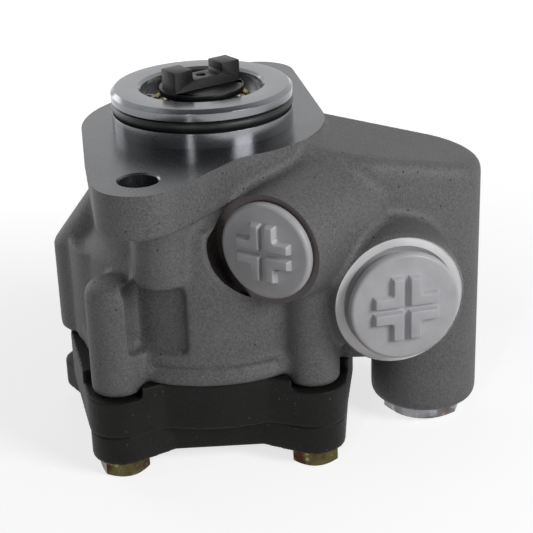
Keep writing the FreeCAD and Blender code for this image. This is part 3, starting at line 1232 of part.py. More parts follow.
PIECES = [make_housing(), make_rear_body(), make_rear_cover(), make_cover_bolts(), make_shaft(),
          make_claw_coupling()]
PIECES += make_bearing()
PIECES += [make_circlip(), make_shaft_seal(), make_rotor(), make_cam_ring(), make_dowel_pins(),
           make_pressure_spring(), make_spool(), make_valve_plug()]
PIECES += make_vanes()
PIECES += make_relief()
PIECES += [
    ring("front_bush", S.shaft_dia + S.running_gap * 2,
         S.shaft_dia + (S.running_gap + S.bush_wall - S.press_gap) * 2, BUSH_TOP - S.front_bush_length, BUSH_TOP),
    ring("rear_bush", S.tail_dia + S.running_gap * 2,
         S.tail_dia + (S.running_gap + S.bush_wall - S.press_gap) * 2,
         -S.barrel_depth - S.pocket_depth - S.rear_bush_length, -S.barrel_depth - S.pocket_depth),
    make_plate("front_plate", FRONT_PLATE_LOW, -S.cartridge_top, S.shaft_dia + S.shaft_space * 2),
    make_plate("rear_plate", REAR_PLATE_LOW, CAM_LOW, S.tail_dia + S.shaft_space * 2),
    o_ring("pilot_o_ring", GROOVE_ROOT * 2 + S.ring_cord, S.ring_cord,
           S.ring_groove_low + S.ring_groove_width / 2),
    o_ring("body_o_ring", S.body_ring_dia, S.seal_cord, -S.barrel_depth - S.seal_cord / 2),
    o_ring("cover_o_ring", S.cover_ring_dia, S.seal_cord, -S.rear_depth - S.seal_cord / 2),
    o_ring("plug_o_ring", S.valve_thread_dia - S.seal_cord, S.seal_cord,
           -S.valve_depth + (S.seal_cord + S.seal_room) / 2, S.valve_x, S.valve_y),
    coil("spool_spring", S.spool_coil_dia, S.spool_wire, S.spring_turns,
         -S.valve_depth + S.valve_thread_length - S.tap_spare / 2, SPOOL_LOW, S.valve_x, S.valve_y),
    make_port_plug("outlet_plug", OUTLET, S.outlet_turn, S.outlet_plug_dia, S.outlet_plug_head, S.press_gap,
                   S.outlet_thread_dia, S.outlet_grip_reach, S.outlet_grip_width),
    make_port_plug("inlet_plug", INLET, S.inlet_turn, S.inlet_plug_dia, S.inlet_plug_head, S.inlet_plug_stand,
                   S.inlet_thread_dia, S.inlet_grip_reach, S.inlet_grip_width),
]


def finish():
    """Check every object and write each piece's file."""
    DOC.recompute()
    for item in DOC.Objects:
        if "Invalid" in item.State or "Error" in item.State:
            raise RuntimeError("%s failed: %s" % (item.Label, item.State))
    os.makedirs("parts", exist_ok=True)
    for piece in PIECES:
        shape = piece.Shape
        if shape.isNull() or not shape.isValid():
            raise RuntimeError("%s has no valid shape" % piece.Label)
        print("%-20s solids %d volume %.1f" % (piece.Label, len(shape.Solids), shape.Volume))
        shape.exportStep(os.path.join("parts", piece.Label + ".step"))


finish()
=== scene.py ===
import json
import math

import bmesh
import bpy
from mathutils import Matrix, Vector

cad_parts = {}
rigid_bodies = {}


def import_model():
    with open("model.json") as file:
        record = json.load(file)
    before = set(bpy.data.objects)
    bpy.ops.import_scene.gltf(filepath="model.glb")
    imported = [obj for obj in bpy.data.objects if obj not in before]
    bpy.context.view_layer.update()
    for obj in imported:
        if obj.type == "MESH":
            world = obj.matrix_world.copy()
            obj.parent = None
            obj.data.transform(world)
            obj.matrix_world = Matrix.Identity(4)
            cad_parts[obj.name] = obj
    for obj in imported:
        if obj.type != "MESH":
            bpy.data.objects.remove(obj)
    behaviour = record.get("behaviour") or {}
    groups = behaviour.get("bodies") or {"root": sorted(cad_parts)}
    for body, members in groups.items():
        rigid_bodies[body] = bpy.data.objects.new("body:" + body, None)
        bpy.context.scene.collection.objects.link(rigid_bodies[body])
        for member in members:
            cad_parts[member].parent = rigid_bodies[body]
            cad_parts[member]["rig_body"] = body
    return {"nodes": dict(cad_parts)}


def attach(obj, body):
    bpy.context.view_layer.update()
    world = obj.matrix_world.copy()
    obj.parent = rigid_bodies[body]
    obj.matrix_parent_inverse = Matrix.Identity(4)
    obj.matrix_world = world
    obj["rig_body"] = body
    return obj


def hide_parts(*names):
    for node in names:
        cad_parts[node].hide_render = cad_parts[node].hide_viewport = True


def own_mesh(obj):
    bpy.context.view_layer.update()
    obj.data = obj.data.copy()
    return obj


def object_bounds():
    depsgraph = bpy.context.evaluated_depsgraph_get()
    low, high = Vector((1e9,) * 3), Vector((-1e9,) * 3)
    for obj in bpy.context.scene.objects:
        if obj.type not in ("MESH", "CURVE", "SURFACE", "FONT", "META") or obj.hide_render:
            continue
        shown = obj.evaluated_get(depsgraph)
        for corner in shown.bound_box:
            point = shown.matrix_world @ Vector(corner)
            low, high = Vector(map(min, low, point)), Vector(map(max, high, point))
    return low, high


# Looks of the vane pump: the cast housing, its machined faces, the dark rear castings,
# the plated and moulded small parts, the studio and the camera.
# Same frame as the construction: origin in the middle of the flange face, +Z along the
# drive shaft. Sizes are written in millimetres and turned into metres by MM.

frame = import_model()
CAD_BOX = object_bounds()
NODES = frame["nodes"]
MM = 0.001


# Sizes of the construction that the looks share, in millimetres. Heights are above the flange face,
# depths in a port are below the middle of its face, and turns are degrees seen from above.

SPIGOT_RADIUS, SPIGOT_TOP, SPIGOT_CHAMFER = 26.0, 11.0, 1.1
RING_GROOVE_RADIUS, RING_GROOVE_LOW, RING_GROOVE_HIGH = 23.2, 4.3, 7.7
MOUTH_RADIUS, MOUTH_CHAMFER = 17.5, 0.8
CIRCLIP_RADIUS, CIRCLIP_LOW, CIRCLIP_HIGH = 18.5, 7.0, 8.5
BEARING_LOW = -4.0
SEAL_RADIUS, SEAL_LOW = 15.0, -11.5
SHAFT_RADIUS = 9.0
CARTRIDGE_RADIUS, CARTRIDGE_TOP = 32.5, -37.0
BARREL_LOW = -66.0
FOOT_RADIUS, FOOT_LOW = 38.4, -68.7
HOLE_X, HOLE_Y = 17.48, 48.02
HOLE_RADIUS, HOLE_CHAMFER, LUG_LOW = 5.25, 0.45, -12.5
LUG_DIA, FLANGE_DISC_DIA, HOLLOW_DIA = 24.2, 70.0, 16.0
HOLLOW_REACH, HOLLOW_TURN = 43.2, 109.0
BOLT_X, BOLT_Y = 28.0, 31.0
VALVE_X, VALVE_Y, VALVE_LOW = 64.0, -5.0, -89.0
VALVE_THREAD_RADIUS, VALVE_THREAD_TOP = 11.1, -77.5
VALVE_BORE_RADIUS, VALVE_BORE_TOP = 9.5, -31.0
VALVE_TIP_RADIUS, VALVE_TIP_TOP, VALVE_POINT = 7.0, -20.0, -18.0
OUTLET_SPOT, OUTLET_TURN = (15.7, -41.5, -24.0), -33.5
OUTLET_FACE_RADIUS, OUTLET_THREAD_RADIUS, OUTLET_DEPTH = 16.4, 9.1, 14.0
INLET_SPOT, INLET_TURN = (51.8, -38.0, -42.5), 11.0
INLET_FACE_RADIUS, INLET_THREAD_RADIUS, INLET_DEPTH, INLET_CHAMFER = 18.7, 13.05, 16.0, 3.0

# Solids that close the casting's bores while its skin is made
FILL_TOP = 3.0
FILL_BARREL_RADIUS, FILL_BARREL_TOP = 36.0, -36.0
FILL_DRIVE_RADIUS, FILL_FLANGE_LOW = 19.0, -6.0
FILL_VALVE_RADIUS, FILL_VALVE_TOP = 11.6, -15.0
FILL_PORT_START = -1.5
FILL_OUTLET_RADIUS, FILL_OUTLET_DEPTH = 15.6, 16.0
FILL_INLET_RADIUS, FILL_INLET_DEPTH = 18.6, 18.0
FILL_HOLE_RADIUS = 6.5
FILL_BOLT_RADIUS, FILL_BOLT_TOP = 4.6, -41.0

# Reach of the cutters beyond the casting
CUT_TOP_RADIUS, CUT_TOP_HEIGHT = 120.0, 40.0
CUT_OVER, CUT_UNDER_BARREL, CUT_UNDER_VALVE = 1.0, 1.3, 1.0
HOLE_CUT_LOW = -20.0
OUTLET_CLEARANCE, INLET_CLEARANCE = 24.0, 6.0

# Voxel, softening passes and inner corners of the cast skins
CAST_VOXEL, CAST_PASSES, CAST_FILLET = 0.68, 3, 0.8
DARK_VOXEL, DARK_PASSES = 0.5, 4
SOFTENING = 0.5

# Hollows in the barrel: inner and outer radius, start and end turn, low and high
POCKET = (36.2, 44, 233.6, 258.5, -56.5, -35.5)
RIM_GROOVE = (37.0, 44, 242, 298, -62.6, -60.2)

# The turned spigot: its foot inside the casting and its rounded edges
SPIGOT_ROOT = -3.0
FINE_ROUND, EDGE_ROUND, GROOVE_ROUND = 0.1, 0.15, 0.2

# Shipping plugs
CAP_HEAD, CAP_EDGE, CAP_BEVEL = 2.2, 1.2, 0.22
CAP_STEM, CAP_WALL, CAP_FLOOR = 9.0, 1.6, 3.2
RIB_COUNT, RIB_HEIGHT, RIB_ROOT = 4, 1.8, 0.3
RIB_CORNER, RIB_HOLLOW = 0.4, 1.0
RIB_FOOT_START, RIB_TOP_START = 0.6, 1.0
RIB_TOP_SHORTER, RIB_TOP_NARROWER = 0.7, 1.1

# How finely shapes are drawn; angles and steps of arcs in degrees
TINY = 1e-6
SHARP_ANGLE = 32.0
FLAT_ANGLE = 0.3
CORNER_STEP = 12.0
BELT_STEP = 3.0
SECTOR_STEPS = 12
LATHE_STEPS, COARSE_STEPS, FINE_STEPS = 128, 64, 192


# Camera and studio

CAMERA_DISTANCE = 416.0
CAMERA_HEIGHT_ANGLE = 17.66
CAMERA_YAW = 2.43
CAMERA_PITCH = 23.59
CAMERA_ROLL = -1.96
FOCAL_PIXELS = 1433.0
IMAGE_PIXELS = 533.0
SENSOR_WIDTH = 36.0
CLIP_START = 10.0
AMBIENT = 0.03
ROOM_GLOSS = 0.10
ROOM_START, BACKDROP_START = -0.35, 0.45
FLOOR_REACH = 3000.0
FLOOR_BOUNCE = (0.19, 0.155, 0.13)
FLOOR_TONE = (0.5, 0.5, 0.5)
FLOOR_MIDDLE_X = 20.0
FLOOR_NEAR, FLOOR_FAR = 100.0, 400.0
FLOOR_GLOW_NEAR, FLOOR_GLOW_FAR = 0.72, 1.0

# Each lamp's name, place, aim, size and watts; most are aimed at the middle of the object
MIDDLE = (0, 0, -40)
LAMPS = (
    ("key", (430, -370, 215), MIDDLE, (240, 240), 2.2),
    ("back_top", (0, 420, 420), MIDDLE, (400, 300), 0.25),
    ("left_top", (-420, -100, 420), MIDDLE, (300, 300), 0.12),
    ("left_side", (-520, -60, 160), MIDDLE, (300, 300), 0.06),
    ("rear", (-430, 400, 90), MIDDLE, (300, 300), 0.7),
    ("strip", (-170, -560, 220), (0, 0, 0), (50, 320), 0.5),
)


def piece_from(bm, name):
    """A new object from a bmesh."""
    mesh = bpy.data.meshes.new(name)
    bm.to_mesh(mesh)
    bm.free()
    piece = bpy.data.objects.new(name, mesh)
    bpy.context.scene.collection.objects.link(piece)
    return piece


def make_camera():
    """The camera of the photograph, from its distance and angles."""
    yaw, pitch, roll = (math.radians(a) for a in (CAMERA_YAW, CAMERA_PITCH, CAMERA_ROLL))
    rise = math.radians(CAMERA_HEIGHT_ANGLE)
    ahead = Vector((math.sin(yaw) * math.cos(pitch), math.cos(yaw) * math.cos(pitch), -math.sin(pitch)))
    level = Vector((math.cos(yaw), -math.sin(yaw), 0))
    over = level.cross(ahead)
    right = level * math.cos(roll) + over * math.sin(roll)
    up = over * math.cos(roll) - level * math.sin(roll)
    data = bpy.data.cameras.new("camera")
    data.sensor_width = SENSOR_WIDTH
    data.lens = FOCAL_PIXELS / IMAGE_PIXELS * SENSOR_WIDTH
    data.clip_start = CLIP_START * MM
    camera = bpy.data.objects.new("camera", data)
    spot = Vector((0, -math.cos(rise), math.sin(rise))) * CAMERA_DISTANCE * MM
    turn = Matrix((right, up, -ahead)).transposed()
    camera.matrix_world = Matrix.Translation(spot) @ turn.to_4x4()
    bpy.context.scene.collection.objects.link(camera)
    bpy.context.scene.camera = camera


def area_light(name, spot, aim, size, watts):
    """A soft rectangular lamp at a point, turned to another, in millimetres."""
    data = bpy.data.lights.new(name, "AREA")
    data.shape = "RECTANGLE"
    data.size, data.size_y = size[0] * MM, size[1] * MM
    data.energy = watts
    lamp = bpy.data.objects.new(name, data)
    place = Vector(spot) * MM
    lamp.location = place
    lamp.rotation_mode = "QUATERNION"
    lamp.rotation_quaternion = (Vector(aim) * MM - place).to_track_quat("-Z", "Y")
    bpy.context.scene.collection.objects.link(lamp)


def background(tree, strength):
    """A white background shader."""
    made = tree.nodes.new("ShaderNodeBackground")
    made.inputs["Color"].default_value = (1, 1, 1, 1)
    made.inputs["Strength"].default_value = strength
    return made


def mixed(tree, factor, first, second):
    """One of two shaders, by a factor."""
    made = tree.nodes.new("ShaderNodeMixShader")
    tree.links.new(factor, made.inputs[0])
    tree.links.new(first.outputs[0], made.inputs[1])
    tree.links.new(second.outputs[0], made.inputs[2])
    return made


def mapped(tree, value, low, high, start, end):
    """Map a value from one range to another, clamped."""
    made = tree.nodes.new("ShaderNodeMapRange")
    tree.links.new(value, made.inputs["Value"])
    for key, number in zip(("From Min", "From Max", "To Min", "To Max"), (low, high, start, end)):
        made.inputs[key].default_value = number
    return made


def make_world():
    """A white backdrop behind the object, a dim room in front of it, and white for the camera."""
    world = bpy.data.worlds.new("studio")
    world.use_nodes = True
    world.cycles.sampling_method = "NONE"
    bpy.context.scene.world = world
    tree = world.node_tree
    tree.nodes.clear()
    path = tree.nodes.new("ShaderNodeLightPath")
    gloss = tree.nodes.new("ShaderNodeMath")
    gloss.operation = "MAXIMUM"
    tree.links.new(path.outputs["Is Glossy Ray"], gloss.inputs[0])
    tree.links.new(path.outputs["Is Transmission Ray"], gloss.inputs[1])
    place = tree.nodes.new("ShaderNodeTexCoord")
    split = tree.nodes.new("ShaderNodeSeparateXYZ")
    tree.links.new(place.outputs["Generated"], split.inputs[0])
    back = mapped(tree, split.outputs["Y"], ROOM_START, BACKDROP_START, ROOM_GLOSS, 1.0)
    back.interpolation_type = "SMOOTHSTEP"
    room = background(tree, 1.0)
    tree.links.new(back.outputs["Result"], room.inputs["Strength"])
    unseen = mixed(tree, gloss.outputs[0], background(tree, AMBIENT), room)
    shown = mixed(tree, path.outputs["Is Camera Ray"], unseen, background(tree, 1.0))
    out = tree.nodes.new("ShaderNodeOutputWorld")
    tree.links.new(shown.outputs[0], out.inputs[0])


def make_floor():
    """A pale floor under the bolt heads: white to the eye and in gloss, duller as a source of light."""
    low = CAD_BOX[0].z
    reach = FLOOR_REACH * MM
    bm = bmesh.new()
    corners = ((-reach, -reach), (reach, -reach), (reach, reach), (-reach, reach))
    bm.faces.new([bm.verts.new((x, y, low)) for x, y in corners])
    floor = piece_from(bm, "floor")
    material = bpy.data.materials.new("floor")
    material.use_nodes = True
    material.cycles.emission_sampling = "NONE"
    tree = material.node_tree
    tree.nodes.clear()
    path = tree.nodes.new("ShaderNodeLightPath")
    dull = tree.nodes.new("ShaderNodeBsdfDiffuse")
    dull.inputs["Color"].default_value = (*FLOOR_BOUNCE, 1)
    pale = tree.nodes.new("ShaderNodeBsdfDiffuse")
    pale.inputs["Color"].default_value = (*FLOOR_TONE, 1)
    place = tree.nodes.new("ShaderNodeTexCoord")
    away = tree.nodes.new("ShaderNodeVectorMath")
    away.operation = "DISTANCE"
    tree.links.new(place.outputs["Object"], away.inputs[0])
    away.inputs[1].default_value = (FLOOR_MIDDLE_X * MM, 0, low)
    rise = mapped(tree, away.outputs["Value"], FLOOR_NEAR * MM, FLOOR_FAR * MM,
                  FLOOR_GLOW_NEAR, FLOOR_GLOW_FAR)
    glow = tree.nodes.new("ShaderNodeEmission")
    tree.links.new(rise.outputs["Result"], glow.inputs["Strength"])
    bright = tree.nodes.new("ShaderNodeAddShader")
    tree.links.new(pale.outputs[0], bright.inputs[0])
    tree.links.new(glow.outputs[0], bright.inputs[1])
    shown = mixed(tree, path.outputs["Is Diffuse Ray"], bright, dull)
    out = tree.nodes.new("ShaderNodeOutputMaterial")
    tree.links.new(shown.outputs[0], out.inputs[0])
    floor.data.materials.append(material)


# Materials

SPOT_CORE, SPOT_EDGE = 0.12, 0.28
GLOSS_STRETCH, GLOSS_TURN = 0.6, 0.25
ZINC_ROUGHNESS = 0.28


class Shade:
    """A node material that is built up in a few lines."""

    def __init__(self, name, metallic=0.0, roughness=0.5, specular=0.5):
        self.material = bpy.data.materials.new(name)
        self.material.use_nodes = True
        self.tree = self.material.node_tree
        self.shader = self.tree.nodes["Principled BSDF"]
        self.shader.inputs["Metallic"].default_value = metallic
        self.shader.inputs["Roughness"].default_value = roughness
        self.shader.inputs["Specular IOR Level"].default_value = specular
        self.where = self.tree.nodes.new("ShaderNodeTexCoord").outputs["Object"]
        self.height = None

    def node(self, kind, **settings):
        """A new shader node with its settings."""
        made = self.tree.nodes.new("ShaderNode" + kind)
        for key, value in settings.items():
            setattr(made, key, value)
        return made

    def link(self, out, socket):
        """Join a node's output to a socket."""
        self.tree.links.new(out, socket)

    def noise(self, size, detail=2.0, rough=0.5):
        """Noise whose features are about so many millimetres wide."""
        made = self.node("TexNoise")
        self.link(self.where, made.inputs["Vector"])
        made.inputs["Scale"].default_value = 1 / (size * MM)
        made.inputs["Detail"].default_value = detail
        made.inputs["Roughness"].default_value = rough
        return made.outputs["Fac"]

    def range(self, value, low, high, start, end):
        """A value mapped from one range to another."""
        return mapped(self.tree, value, low, high, start, end).outputs["Result"]

    def cloud(self, size, detail, rough=0.5, low=0.3, high=0.7):
        """Noise spread out to run from 0 to 1."""
        return self.range(self.noise(size, detail, rough), low, high, 0, 1)

    def spots(self, size, share):
        """Small round spots in a share of the cells that are so many millimetres wide."""
        cells = self.node("TexVoronoi", feature="F1")
        self.link(self.where, cells.inputs["Vector"])
        cells.inputs["Scale"].default_value = 1 / (size * MM)
        pick = self.node("Math", operation="LESS_THAN")
        split = self.node("SeparateColor")
        self.link(cells.outputs["Color"], split.inputs[0])
        self.link(split.outputs[0], pick.inputs[0])
        pick.inputs[1].default_value = share
        near = self.range(cells.outputs["Distance"], SPOT_CORE, SPOT_EDGE, 1, 0)
        both = self.node("Math", operation="MULTIPLY")
        self.link(pick.outputs[0], both.inputs[0])
        self.link(near, both.inputs[1])
        return both.outputs[0]

    def blend(self, factor, first, second):
        """A colour between two; each is a colour or another node's output."""
        made = self.node("Mix", data_type="RGBA")
        self.link(factor, made.inputs["Factor"])
        for socket, colour in zip((made.inputs[6], made.inputs[7]), (first, second)):
            if isinstance(colour, tuple):
                socket.default_value = (*colour, 1)
            else:
                self.link(colour, socket)
        return made.outputs[2]

    def colour(self, out):
        """Take a node's output as the base colour."""
        self.link(out, self.shader.inputs["Base Color"])

    def roughness(self, field, start, end, low=0.3, high=0.7):
        """Let the roughness run from start to end as a field runs from low to high."""
        self.link(self.range(field, low, high, start, end), self.shader.inputs["Roughness"])

    def bump(self, height, depth):
        """Raise the surface by a height field, so many millimetres deep."""
        made = self.node("Bump")
        made.inputs["Distance"].default_value = depth * MM
        self.link(height, made.inputs["Height"])
        if self.height is not None:
            self.link(self.height, made.inputs["Normal"])
        self.height = made.outputs["Normal"]
        self.link(self.height, self.shader.inputs["Normal"])

    def turned(self, centre, axis, pitch, depth):
        """Fine turning lines about an axis, with the stretched gloss that they give."""
        off = self.node("VectorMath", operation="SUBTRACT")
        self.link(self.where, off.inputs[0])
        off.inputs[1].default_value = Vector(centre) * MM
        side = self.node("VectorMath", operation="CROSS_PRODUCT")
        side.inputs[0].default_value = axis
        self.link(off.outputs[0], side.inputs[1])
        reach = self.node("VectorMath", operation="LENGTH")
        self.link(side.outputs[0], reach.inputs[0])
        lines = self.node("TexNoise", noise_dimensions="1D")
        self.link(reach.outputs["Value"], lines.inputs["W"])
        lines.inputs["Scale"].default_value = 1 / (pitch * MM)
        lines.inputs["Detail"].default_value = 2.0
        self.bump(lines.outputs["Fac"], depth)
        self.link(side.outputs[0], self.shader.inputs["Tangent"])
        self.shader.inputs["Anisotropic"].default_value = GLOSS_STRETCH
        self.shader.inputs["Anisotropic Rotation"].default_value = GLOSS_TURN


def darker(tone, share):
    """A tone at a share of its brightness."""
    return tuple(c * share for c in tone)


def cast_aluminium():
    """Blasted grey cast aluminium with a fine grain, soft clouds and small dark pores."""
    shade, body = (0.078, 0.079, 0.081), (0.112, 0.113, 0.115)
    bright, pore = (0.20, 0.20, 0.203), (0.02, 0.018, 0.016)
    made = Shade("cast_aluminium", metallic=0.35, roughness=0.55, specular=0.3)
    base = made.blend(made.cloud(size=14, detail=4), shade, body)
    grain = made.cloud(size=0.6, detail=4, rough=0.75, low=0.36, high=0.64)
    base = made.blend(grain, base, bright)
    made.colour(made.blend(made.spots(size=1.4, share=0.03), base, pore))
    made.roughness(grain, 0.52, 0.7, low=0, high=1)
    made.bump(made.noise(size=0.8, detail=3, rough=0.7), depth=0.24)
    made.bump(made.noise(size=4.5, detail=2), depth=0.15)
    return made.material


def machined_aluminium(name, tone, roughness, metallic=0.85, centre=(0, 0, 0), axis=(0, 0, 1)):
    """Face-turned aluminium with faint turning lines about an axis."""
    made = Shade(name, metallic=metallic, roughness=roughness)
    made.colour(made.blend(made.cloud(size=9, detail=3), darker(tone, 0.86), tone))
    made.roughness(made.noise(size=0.35, detail=2), roughness * 0.8, roughness * 1.2)
    made.turned(centre, axis, pitch=0.35, depth=0.004)
    return made.material


def dark_casting():
    """Dark, nearly black casting with a dull grain and a few bright flecks."""
    shade, body = (0.008, 0.0078, 0.007), (0.013, 0.0125, 0.012)
    bright, fleck = (0.024, 0.023, 0.022), (0.09, 0.085, 0.08)
    made = Shade("dark_casting", metallic=0.2, roughness=0.6, specular=0.2)
    base = made.blend(made.cloud(size=9, detail=4), shade, body)
    grain = made.cloud(size=0.6, detail=3, rough=0.7, low=0.45, high=0.75)
    base = made.blend(grain, base, bright)
    made.colour(made.blend(made.spots(size=1.1, share=0.05), base, fleck))
    made.roughness(grain, 0.5, 0.68, low=0, high=1)
    made.bump(made.noise(size=0.6, detail=3, rough=0.65), depth=0.12)
    made.bump(made.noise(size=4, detail=2), depth=0.15)
    return made.material


def zinc(name, first, second, third):
    """Plated steel whose passivation drifts between three tints."""
    made = Shade(name, metallic=1.0, roughness=ZINC_ROUGHNESS)
    base = made.blend(made.cloud(size=8, detail=2, low=0.42, high=0.58), first, second)
    stain = made.cloud(size=2.2, detail=3, low=0.55, high=0.75)
    made.colour(made.blend(stain, base, third))
    made.roughness(made.noise(size=0.8, detail=3), ZINC_ROUGHNESS * 0.8, ZINC_ROUGHNESS * 1.5)
    made.bump(made.noise(size=0.7, detail=2), depth=0.02)
    return made.material


def steel(name, tone, roughness, metallic=1.0):
    """Plain steel, brass or bronze of one tone with a fine grain."""
    made = Shade(name, metallic=metallic, roughness=roughness)
    made.colour(made.blend(made.cloud(size=4, detail=3), darker(tone, 0.8), tone))
    fine = made.noise(size=0.4, detail=3)
    made.roughness(fine, roughness * 0.8, roughness * 1.25)
    made.bump(fine, depth=0.015)
    return made.material


def rubber():
    """Black rubber with faint lighter clouds in its colour, a painted sheen."""
    made = Shade("black_rubber", roughness=0.45)
    # Lighter clouds in the black stand in for sheen: painted sheen.
    painted_sheen = made.cloud(size=3, detail=3, low=0.4, high=0.8)
    made.colour(made.blend(painted_sheen, (0.008, 0.008, 0.009), (0.02, 0.02, 0.021)))
    fine = made.noise(size=0.5, detail=3)
    made.roughness(fine, 0.38, 0.52)
    made.bump(fine, depth=0.02)
    return made.material


def milky_plastic():
    """Milky translucent plastic of the shipping plugs."""
    made = Shade("milky_plastic", roughness=0.38)
    made.shader.inputs["Subsurface Weight"].default_value = 0.25
    made.shader.inputs["Subsurface Radius"].default_value = (2.0 * MM, 2.0 * MM, 2.2 * MM)
    made.shader.inputs["Subsurface Scale"].default_value = 1.0
    made.colour(made.blend(made.cloud(size=7, detail=2), (0.47, 0.47, 0.50), (0.55, 0.55, 0.575)))
    fine = made.noise(size=0.9, detail=3)
    made.roughness(fine, 0.34, 0.46)
    made.bump(fine, depth=0.03)
    return made.material


def smooth_group():
    """Node group that shades smooth below an angle and keeps sharper edges crisp."""
    group = bpy.data.node_groups.new("smooth_by_angle", "GeometryNodeTree")
    group.interface.new_socket("Geometry", in_out="INPUT", socket_type="NodeSocketGeometry")
    group.interface.new_socket("Geometry", in_out="OUTPUT", socket_type="NodeSocketGeometry")
    source = group.nodes.new("NodeGroupInput")
    target = group.nodes.new("NodeGroupOutput")
    faces = group.nodes.new("GeometryNodeSetShadeSmooth")
    faces.domain = "FACE"
    angle = group.nodes.new("GeometryNodeInputMeshEdgeAngle")
    sharp = group.nodes.new("FunctionNodeCompare")
    sharp.data_type = "FLOAT"
    sharp.operation = "GREATER_THAN"
    sharp.inputs[1].default_value = math.radians(SHARP_ANGLE)
    edges = group.nodes.new("GeometryNodeSetShadeSmooth")
    edges.domain = "EDGE"
    edges.inputs["Shade Smooth"].default_value = False
    links = group.links
    links.new(source.outputs[0], faces.inputs[0])
    links.new(faces.outputs[0], edges.inputs[0])
    links.new(angle.outputs["Unsigned Angle"], sharp.inputs[0])
    links.new(sharp.outputs[0], edges.inputs["Selection"])
    links.new(edges.outputs[0], target.inputs[0])
    return group


SMOOTH = smooth_group()


def shaded(piece):
    """Shade a piece smooth up to the sharp angle."""
    shading = piece.modifiers.new("shading", "NODES")
    shading.node_group = SMOOTH


def bevelled(piece, width, segments=2):
    """Round a piece's hard edges by so many millimetres and shade it cleanly."""
    weld = piece.modifiers.new("weld", "WELD")
    weld.merge_threshold = TINY
    flat = piece.modifiers.new("flat", "DECIMATE")
    flat.decimate_type = "DISSOLVE"
    flat.angle_limit = math.radians(FLAT_ANGLE)
    if width:
        bevel = piece.modifiers.new("bevel", "BEVEL")
        bevel.width = width * MM
        bevel.segments = segments
        bevel.limit_method = "ANGLE"
        bevel.angle_limit = math.radians(SHARP_ANGLE)
        bevel.use_clamp_overlap = False
    shaded(piece)


def dress(names, material, bevel):
    """Give construction nodes a material and softened edges."""
    for name in names:
        node = NODES[name]
        node.data.materials.clear()
        node.data.materials.append(material)
        bevelled(node, bevel)


# Shapes

def rounded(points):
    """Points of a section; a third number at a point rounds that corner."""
    made = []
    total = len(points)
    for i, point in enumerate(points):
        if len(point) == 2 or point[2] == 0:
            made.append(Vector(point[:2]))
            continue
        here = Vector(point[:2])
        back = (Vector(points[i - 1][:2]) - here).normalized()
        ahead = (Vector(points[(i + 1) % total][:2]) - here).normalized()
        half = back.angle(ahead) / 2
        middle = here + (back + ahead).normalized() * point[2] / math.sin(half)
        start = here + back * point[2] / math.tan(half) - middle
        turn = start.angle_signed(here + ahead * point[2] / math.tan(half) - middle)
        steps = max(2, round(abs(turn) / math.radians(CORNER_STEP)))
        for k in range(steps + 1):
            spin = Matrix.Rotation(-turn * k / steps, 2)
            made.append(middle + spin @ start)
    return made


def lathe(name, section, place=None, steps=LATHE_STEPS):
    """A turned solid from a half section of radius and height, in millimetres."""
    bm = bmesh.new()
    rings = []
    for radius, height in rounded(section):
        count = 1 if abs(radius) < TINY else steps
        turns = [2 * math.pi * k / steps for k in range(count)]
        rings.append([bm.verts.new((radius * math.cos(a), radius * math.sin(a), height)) for a in turns])
    pairs = list(zip(rings, rings[1:]))
    if len(rings[0]) > 1:
        pairs.append((rings[-1], rings[0]))
    for low, high in pairs:
        if len(low) == len(high) == 1:
            continue
        for k in range(steps):
            n = (k + 1) % steps
            corners = [low[k % len(low)], low[n % len(low)], high[n % len(high)], high[k % len(high)]]
            bm.faces.new(list(dict.fromkeys(corners)))
    bmesh.ops.recalc_face_normals(bm, faces=bm.faces)
    bmesh.ops.transform(bm, matrix=(place or Matrix.Identity(4)), verts=bm.verts)
    bmesh.ops.scale(bm, vec=(MM, MM, MM), verts=bm.verts)
    return piece_from(bm, name)


def rod(name, radius, low, high, place=None, steps=LATHE_STEPS):
    """A plain round solid, in millimetres."""
    return lathe(name, [(0, low), (radius, low), (radius, high), (0, high)], place, steps)


def prism(name, outline, low, high):
    """An upright solid over a plan outline, in millimetres."""
    bm = bmesh.new()
    base = [bm.verts.new((x * MM, y * MM, low * MM)) for x, y in outline]
    face = bm.faces.new(base)
    made = bmesh.ops.extrude_face_region(bm, geom=[face])
    moved = [item for item in made["geom"] if isinstance(item, bmesh.types.BMVert)]
    bmesh.ops.translate(bm, vec=(0, 0, (high - low) * MM), verts=moved)
    bmesh.ops.recalc_face_normals(bm, faces=bm.faces)
    return piece_from(bm, name)


def sector(name, inner, outer, start, end, low, high):
    """An upright block between two radii and two directions about the shaft."""
    turns = [math.radians(start + (end - start) * k / SECTOR_STEPS) for k in range(SECTOR_STEPS + 1)]
    arc = [Vector((math.cos(a), math.sin(a))) for a in turns]
    outline = [point * outer for point in arc] + [point * inner for point in reversed(arc)]
    return prism(name, outline, low, high)


def drafted(name, base, top, low, high, place):
    """A solid whose sides lean from one outline to another, in a port's own frame."""
    bm = bmesh.new()
    rings = [[bm.verts.new((x, y, z)) for x, y in outline] for outline, z in ((base, low), (top, high))]
    total = len(base)
    bm.faces.new(rings[0])
    bm.faces.new(rings[1])
    for k in range(total):
        n = (k + 1) % total
        bm.faces.new((rings[0][k], rings[0][n], rings[1][n], rings[1][k]))
    bmesh.ops.recalc_face_normals(bm, faces=bm.faces)
    bmesh.ops.transform(bm, matrix=place, verts=bm.verts)
    bmesh.ops.scale(bm, vec=(MM, MM, MM), verts=bm.verts)
    return piece_from(bm, name)


